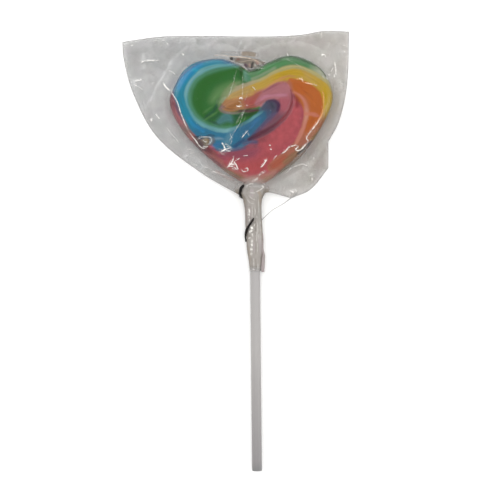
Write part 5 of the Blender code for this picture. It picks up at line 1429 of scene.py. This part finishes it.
def film_colours(mesh, film, heart, bag):
    """Colour and cover of the film at each vertex, with its edge, its folds and the gathers of the neck."""
    places = coordinates(mesh) / MM
    normals = np.empty(len(mesh.vertices) * 3)
    mesh.vertices.foreach_get("normal", normals)
    shown = normals.reshape(-1, 3)[:, 2] > 0
    flat = places[:, :2]
    x, y = flat.T
    inset = -nearest_on_loop(flat, bag)[0]
    colours = np.tile(np.array(film.tint[:]), (len(places), 1))
    over_candy = smoothstep(0.4 - nearest_on_loop(flat, heart)[0] / 0.9)
    warm = smoothstep((x + 25.0) / 50.0)
    colours = blend(blend(colours, film.warm_tint, warm), film.over_candy, over_candy)
    cloudy = 0.045 * soft_noise(flat, 3.0, 14.0) + 0.018 * soft_noise(flat, 1.2, 15.0)
    for tone_x, tone_y, radius, change in FILM_TONES_MM:
        cloudy += change * np.exp(-((x - tone_x) ** 2 + (y - tone_y) ** 2) / radius**2)
    iridescent = np.column_stack([soft_noise(flat, 3.4, seed) for seed in (16.0, 17.0, 18.0)])
    colours *= 1 + 0.1 * iridescent
    cover = film.cover + cloudy
    cover += (film.candy_cover - cover) * over_candy

    def lay(shade, share, least):
        """Blends a shade in and makes the film at least so thick there. Thin film takes its hue first."""
        nonlocal colours, cover
        hue = np.minimum(share * (1 + 2.2 * np.clip(0.8 - cover, 0.0, 0.8)), 1.0)
        colours = blend(colours, shade, hue)
        cover = np.maximum(cover, cover + (least - cover) * share)

    lay(film.edge, 0.85 * smoothstep(1 - inset / 0.55) * (inset > -0.3), 0.5)
    middle, half_width, _ = neck_section(y)
    to_mouth = np.hypot(x - middle, (y + 26.0) * 0.9)
    lay(film.gather, smoothstep(1 - (to_mouth - 2.5) / 4.5) * (y > -26.5), 0.6)
    neck = smoothstep((-y - 23.0) / 3.5) * (np.abs(x - middle) < half_width * 1.25)
    lay(film.gather, neck, 0.8)
    flank = np.clip(np.abs(x - middle) / half_width, 0.0, 1.15)
    # Painted shade on the neck's sides
    lay(film.flank, neck * smoothstep((flank - 0.62) / 0.45), 0.85)
    seen = in_sight(flat, places[:, 2])
    sparkle = np.clip(0.75 + 0.7 * soft_noise(seen, 0.8, 9.0) + 0.5 * soft_noise(seen, 0.35, 2.0), 0.2, 1.0)
    # How soft the marks' edges are, how they glint, and how much of what is under them they hide
    for marks, softness, glint, least in (
        (SHADE_MARKS_MM, 0.5, 1.0, 0.98),
        (FOLD_MARKS_MM, 0.26, sparkle, 0.92),
    ):
        for name, half, strength, line in marks:
            outside, along = mark_field(seen, half, line)
            ends = 0.25 + 0.75 * smoothstep(np.minimum(along, 1 - along) * 5)
            share = strength * smoothstep(0.5 - outside / softness) * ends * shown * glint
            lay(getattr(film, name), share, least)
    # The last wrap of the neck thins out on the stick
    cover *= 0.4 + 0.6 * smoothstep((y - y.min()) / 2.6)
    return np.column_stack([colours, cover])


def film_material(name, index, level):
    """Thin cast polypropylene film: glossy and crinkled, clear in one layer, and whitened where folded, with
    painted highlights on the folds.
    """
    made, tree, shader = new_material(name, IOR=index, Specular_IOR_Level=level)
    place = add_place(tree)
    thickness = add_range(tree, add_noise(tree, place, 160.0, 4.0, Roughness=0.6), 0.93, 1.07)
    painted_cover = add_attribute(tree, "film_colour", "Alpha")
    cover = add_maths(tree, "MULTIPLY", painted_cover, thickness, use_clamp=True)
    # Fine crinkle, in cells of about 3 mm and 1 mm
    inputs = {"Vector": place, "Scale": 330.0}
    cells = add_node(tree, "ShaderNodeTexVoronoi", inputs, feature="DISTANCE_TO_EDGE").outputs["Distance"]
    cell_relief = add_maths(tree, "MINIMUM", cells, 0.5)
    relief = add_maths(tree, "MULTIPLY_ADD", add_noise(tree, place, 900.0, 2.0), 0.35, cell_relief)
    connect(
        tree,
        shader,
        Base_Color=add_attribute(tree, "film_colour", "Color"),
        Alpha=cover,
        # Gathered film, and the whitened folds with their painted highlights, are duller than a single clear
        # layer
        Roughness=add_range(tree, cover, 0.1, 0.5, start=0.1, end=0.8),
        Normal=add_bump(tree, relief, 0.2, 0.3 * MM),
    )
    return made


def keep_film(obj, name, shades, material):
    """Paints a piece of film with its colours and cover, smooths it and keeps it."""
    store(obj.data, "film_colour", "FLOAT_COLOR", shades)
    select_only(obj)
    bpy.ops.object.shade_smooth()
    keep(obj, name, material, "clear_film", "bag")


def outlines_mm():
    """Outlines of the candy and of the bag, in mm."""
    return smooth_loop(HEART_KNOTS_MM, HEART_CORNERS, OUTLINE_STEP) / MM, bag_outline(OUTLINE_STEP) / MM


def double_sheet(sheet, on_rim):
    """Makes one flat sheet two, joined at the rim and a little apart within it."""
    mesh = sheet.data
    count = len(mesh.vertices)
    edit(sheet, SELECT_ALL, (bpy.ops.mesh.duplicate, {}), (bpy.ops.mesh.flip_normals, {}))
    side = np.repeat([1.0, -1.0], count)
    places = coordinates(mesh)
    places[:, 2] = MID_HEIGHT + side * np.tile(np.where(on_rim, 0.0, 0.05 * MM), 2)
    move_to(mesh, places)
    select_vertices(mesh, np.tile(on_rim, 2))
    edit(sheet, MERGE_DOUBLES)


def refine_pouch(pouch, bag):
    """Gives the pouch finer faces on the neck, and along the sharp folds of the shown sheet."""
    mesh = pouch.data
    for top, reach in NECK_FINER_MM:
        x, y = coordinates(mesh)[:, :2].T / MM
        select_vertices(mesh, (y < top) & (np.abs(x - NECK_MIDDLE_MM) < reach))
        edit(pouch, (bpy.ops.mesh.subdivide, {"number_cuts": 1}))
    places = coordinates(mesh)
    flat = places[:, :2] / MM
    inside = -nearest_on_loop(flat, bag)[0]
    shown = places[:, 2] > MID_HEIGHT + 0.01 * MM
    seen = in_sight(flat, np.full(len(flat), FILM_TOP_MM))
    select_vertices(mesh, shown & (near_marks(seen) < 0.45) & (inside > 1.0) & (flat[:, 1] > -21.0))
    edit(pouch, (bpy.ops.mesh.subdivide, {"number_cuts": 2}))


def shape_pouch(mesh, heart, bag):
    """Moves the two sheets to the pouch's heights, with its sharp folds raised."""
    places = coordinates(mesh)
    above = places[:, 2] > MID_HEIGHT + 0.001 * MM
    under = places[:, 2] < MID_HEIGHT - 0.001 * MM
    flat = places[:, :2] / MM
    front, back = (pouch_heights(flat, side, heart, bag) for side in (1.0, -1.0))
    seen = in_sight(flat, front)
    for _, half, strength, line in FOLD_MARKS_MM:
        outside, along = mark_field(seen, half, line)
        ends = smoothstep(np.minimum(along, 1 - along) * 4 + 0.15)
        front += FOLD_LIFT_MM * strength * np.exp(-((np.maximum(outside, 0.0) / 0.3) ** 2)) * ends
    places[:, 2] = np.where(above, front, np.where(under, back, (front + back) / 2)) * MM
    move_to(mesh, places)


def make_loose_end(film, material):
    """The folded strip of film beside the neck."""
    loose = rolled_tube(48, 60, loose_end_shape)
    places = coordinates(loose.data) / MM
    shade = np.tile(np.array([*film.loose, 0.9]), (len(places), 1))
    # Its right side takes the painted shade of the neck's sides
    shade[:, :3] = blend(shade[:, :3], film.flank, smoothstep((places[:, 0] - 3.0) / 0.5))
    keep_film(loose, "loose_end", shade, material)


def make_strand(film, heart, bag, material):
    """The drawn-out thread of film, from the neck to the bag's edge."""
    end_height = pouch_heights(np.array([STRAND_MM[-1]]), 0.0, heart, bag)[0]
    rise = np.linspace(0.0, 1.0, len(STRAND_MM))
    route = [(x, y, MID_MM + (end_height - MID_MM) * s) for (x, y), s in zip(STRAND_MM, rise)]
    path = smooth_path(route, 12)
    share = np.linspace(0.0, 1.0, len(path))
    radii = 0.11 + 0.3 * np.exp(-share / 0.04) + 0.26 * np.exp(-(1 - share) / 0.12)
    strand = swept([p * MM for p in path], radii * MM)
    keep_film(strand, "strand", np.tile((*film.strand, 0.85), (len(strand.data.vertices), 1)), material)


class LOLLY_OT_film(bpy.types.Operator):
    """Models the creased clear bag, from the pouch over the candy to the gathered neck"""

    bl_idname = "lolly.film"
    bl_label = "Film Bag"

    def execute(self, context):
        film = context.scene.lolly_film
        heart, bag = outlines_mm()
        pouch, on_rim = film_sheet(film, bag_outline(OUTLINE_STEP))
        double_sheet(pouch, on_rim)
        refine_pouch(pouch, bag)
        shape_pouch(pouch.data, heart, bag)
        shades = film_colours(pouch.data, film, heart, bag)
        # A single layer's index is above the plastic's own 1.49, because its low cover thins its gloss too
        keep_film(pouch, "film_bag", shades, film_material("clear_film_one_layer", 1.9, 1.0))
        folded_film = film_material("clear_film_folded", 1.49, 0.5)
        pouch.data.materials.append(folded_film)
        folded = [int(shades[list(face.vertices), 3].mean() > FOLDED_COVER) for face in pouch.data.polygons]
        pouch.data.polygons.foreach_set("material_index", folded)
        make_loose_end(film, folded_film)
        make_strand(film, heart, bag, folded_film)
        return {"FINISHED"}


# ---------------------------------------------------------------- stick and tie


def stick_material():
    """Extruded polypropylene tube: satin, with faint lines along it, duller towards its end."""
    made, tree, shader = new_material("extruded_polypropylene", IOR=1.49)
    stick = bpy.context.scene.lolly_stick
    place = add_place(tree)
    along_it = add_node(tree, "ShaderNodeSeparateXYZ", {"Vector": place}).outputs["Y"]
    fade = add_range(tree, along_it, 0.0, 1.0, start=STICK_LOW.y, end=BAG_LOW.y)
    shades = ((0.0, stick.tip), (1.0, stick.body), (0.05, stick.low), (0.62, stick.middle))
    # Draw lines about 0.3 mm apart round the tube and 60 mm long
    inputs = {"Vector": place, "Scale": (3000.0, 16.0, 3000.0)}
    lines = add_noise(tree, add_node(tree, "ShaderNodeMapping", inputs).outputs["Vector"], 1.0, 3.0)
    scuffs = add_noise(tree, place, 500.0, 4.0)
    connect(
        tree,
        shader,
        Base_Color=add_shading(tree, add_ramp(tree, fade, shades), add_range(tree, lines, 0.96, 1.04)),
        Roughness=add_range(tree, scuffs, 0.34, 0.5),
        Normal=add_bump(tree, lines, 0.2, 0.05 * MM),
    )
    return made


class LOLLY_OT_stick(bpy.types.Operator):
    """Models the extruded tube that the candy is held by"""

    bl_idname = "lolly.stick"
    bl_label = "Stick"

    def execute(self, context):
        settings = context.scene.lolly_stick
        span = STICK_HIGH.y - STICK_LOW.y
        bpy.ops.object.select_all(action="DESELECT")
        bpy.ops.mesh.primitive_cylinder_add(
            vertices=96,
            radius=(STICK_HIGH.x - STICK_LOW.x) / 2,
            depth=span,
            end_fill_type="NOTHING",
            location=(0.0, STICK_LOW.y + span / 2, MID_HEIGHT),
            rotation=(math.pi / 2, 0.0, 0.0),
        )
        stick = context.object
        bpy.ops.object.transform_apply(location=True, rotation=True, scale=True)
        apply_modifier(stick, "SOLIDIFY", thickness=settings.wall, offset=-1.0)
        edges = {"limit_method": "ANGLE", "angle_limit": math.radians(60)}
        apply_modifier(stick, "BEVEL", width=0.22 * MM, segments=4, **edges)
        bpy.ops.object.shade_smooth_by_angle(angle=math.radians(40))
        keep(stick, "stick_tube", stick_material(), "stick_plastic", "stick")
        return {"FINISHED"}


def tie_material():
    """Dark lacquered wire: nearly black, glossy, scuffed brown in places."""
    made, tree, shader = new_material("lacquered_wire", IOR=1.35)
    tie = bpy.context.scene.lolly_tie
    wear = add_noise(tree, add_place(tree), 900.0, 5.0, Roughness=0.65)
    connect(
        tree,
        shader,
        Base_Color=add_ramp(tree, wear, ((0.45, tie.body), (0.75, tie.worn))),
        Roughness=add_range(tree, wear, 0.22, 0.45),
        Normal=add_bump(tree, wear, 0.3, 0.08 * MM),
    )
    return made


class LOLLY_OT_tie(bpy.types.Operator):
    """Models the dark wire that hooks round the left of the neck"""

    bl_idname = "lolly.tie"
    bl_label = "Tie"

    def execute(self, context):
        tie = context.scene.lolly_tie
        y, degrees, half_wire = np.array([p[:] for p in smooth_path(TIE_STATIONS, 12)]).T
        angle = np.radians(degrees)
        middle, half_width, half_height = neck_section(y)
        clearance = tie.clearance / MM + half_wire
        x = middle + (half_width + clearance) * np.cos(angle)
        z = MID_MM + (half_height + clearance) * np.sin(angle)
        # Its upper end lies on the pouch
        on_film = pouch_heights(np.column_stack([x, y]), 1.0, *outlines_mm()) + clearance
        z = np.where((np.sin(angle) > 0.3) & (y > -27.0), np.maximum(z, on_film), z)
        share = np.linspace(0.0, 1.0, len(y))
        rounding = np.sqrt(np.clip(np.minimum(share, 1 - share) * 40, 0.15, 1.0))
        radii = half_wire * MM * (1 + 0.08 * np.sin(31 * share)) * rounding
        wire = swept([Vector(p) * MM for p in np.column_stack([x, y, z])], radii)
        bpy.ops.object.shade_smooth()
        keep(wire, "tie_wire", tie_material(), "dark_tie", "tie")
        return {"FINISHED"}


# ---------------------------------------------------------------- studio


class LOLLY_OT_studio(bpy.types.Operator):
    """Adds the pale floor, the soft lights and the camera that looks straight down"""

    bl_idname = "lolly.studio"
    bl_label = "Studio"

    def execute(self, context):
        studio = context.scene.lolly_studio
        bpy.ops.object.select_all(action="DESELECT")
        bpy.ops.mesh.primitive_plane_add(size=3.0, location=(0.0, 0.0, 0.0))
        floor = context.object
        floor.name = "floor"
        paper = new_material("matt_paper", Roughness=0.9, Base_Color=(*studio.floor, 1.0))[0]
        floor.data.materials.append(paper)
        lights = [
            ("key", (-0.45, 0.35, 0.75), 0.5, 2.0, True),
            ("fill", (0.55, -0.1, 0.65), 0.5, 1.2, True),
            ("back", (0.05, 0.65, 0.5), 0.5, 1.0, True),
            ("overhead_sheet", (0.0, 0.0, 1.0), 0.6, 5.0, False),
        ]
        for name, place, size, power, mirrored in lights:
            bpy.ops.object.light_add(type="AREA", location=place)
            light = context.object
            light.name = name
            light.visible_glossy = mirrored
            light.data.size = size
            light.data.energy = power
            aim = Vector((0.0, -0.02, 0.0)) - Vector(place)
            light.rotation_euler = aim.to_track_quat("-Z", "Y").to_euler()
        world = bpy.data.worlds.new("soft_room")
        context.scene.world = world
        world.use_nodes = True
        # A white tent whose top, where the camera looks in, is darker
        background = world.node_tree.nodes["Background"]
        background.inputs["Color"].default_value = (1.0, 1.0, 1.0, 1.0)
        tree = world.node_tree
        direction = add_node(tree, "ShaderNodeTexCoord").outputs["Generated"]
        up = add_node(tree, "ShaderNodeSeparateXYZ", {"Vector": direction}).outputs["Z"]
        ends = {"start": 0.7, "end": 0.97, "interpolation_type": "SMOOTHSTEP"}
        tree.links.new(add_range(tree, up, studio.tent, studio.top, **ends), background.inputs["Strength"])
        context.scene.view_settings.view_transform = "Standard"
        place_camera(context.scene, studio)
        return {"FINISHED"}


def place_camera(scene, studio):
    """A camera straight above, far enough for the field, that leans the stick as it lies."""
    data = bpy.data.cameras.new("overhead")
    data.lens = studio.lens
    data.sensor_width = 36.0
    data.clip_start = 0.01
    camera = bpy.data.objects.new("overhead", data)
    scene.collection.objects.link(camera)
    height = MID_HEIGHT + studio.field * studio.lens / data.sensor_width
    camera.location = (VIEW_MIDDLE_MM[0] * MM, VIEW_MIDDLE_MM[1] * MM, height)
    camera.rotation_euler = (0.0, 0.0, -STICK_LEAN)
    scene.camera = camera


class LOLLY_PT_panel(bpy.types.Panel):
    """Lists the lollipop's pieces in the sidebar"""

    bl_idname = "LOLLY_PT_panel"
    bl_label = "Heart Lollipop"
    bl_space_type = "VIEW_3D"
    bl_region_type = "UI"
    bl_category = "Lollipop"

    def draw(self, context):
        for operator in OPERATORS:
            self.layout.operator(operator.bl_idname)


SETTINGS = {
    "lolly_sugar": SugarSettings,
    "lolly_film": FilmSettings,
    "lolly_stick": StickSettings,
    "lolly_tie": TieSettings,
    "lolly_studio": StudioSettings,
}
OPERATORS = (LOLLY_OT_candy, LOLLY_OT_film, LOLLY_OT_stick, LOLLY_OT_tie, LOLLY_OT_studio)


def register():
    for name, group in SETTINGS.items():
        bpy.utils.register_class(group)
        setattr(bpy.types.Scene, name, bpy.props.PointerProperty(type=group))
    for made in (*OPERATORS, LOLLY_PT_panel):
        bpy.utils.register_class(made)


def unregister():
    for made in (LOLLY_PT_panel, *reversed(OPERATORS)):
        bpy.utils.unregister_class(made)
    for name, group in SETTINGS.items():
        delattr(bpy.types.Scene, name)
        bpy.utils.unregister_class(group)


def main():
    register()
    bpy.ops.lolly.candy()
    bpy.ops.lolly.film()
    bpy.ops.lolly.stick()
    bpy.ops.lolly.tie()
    bpy.ops.lolly.studio()


if __name__ == "__main__":
    main()
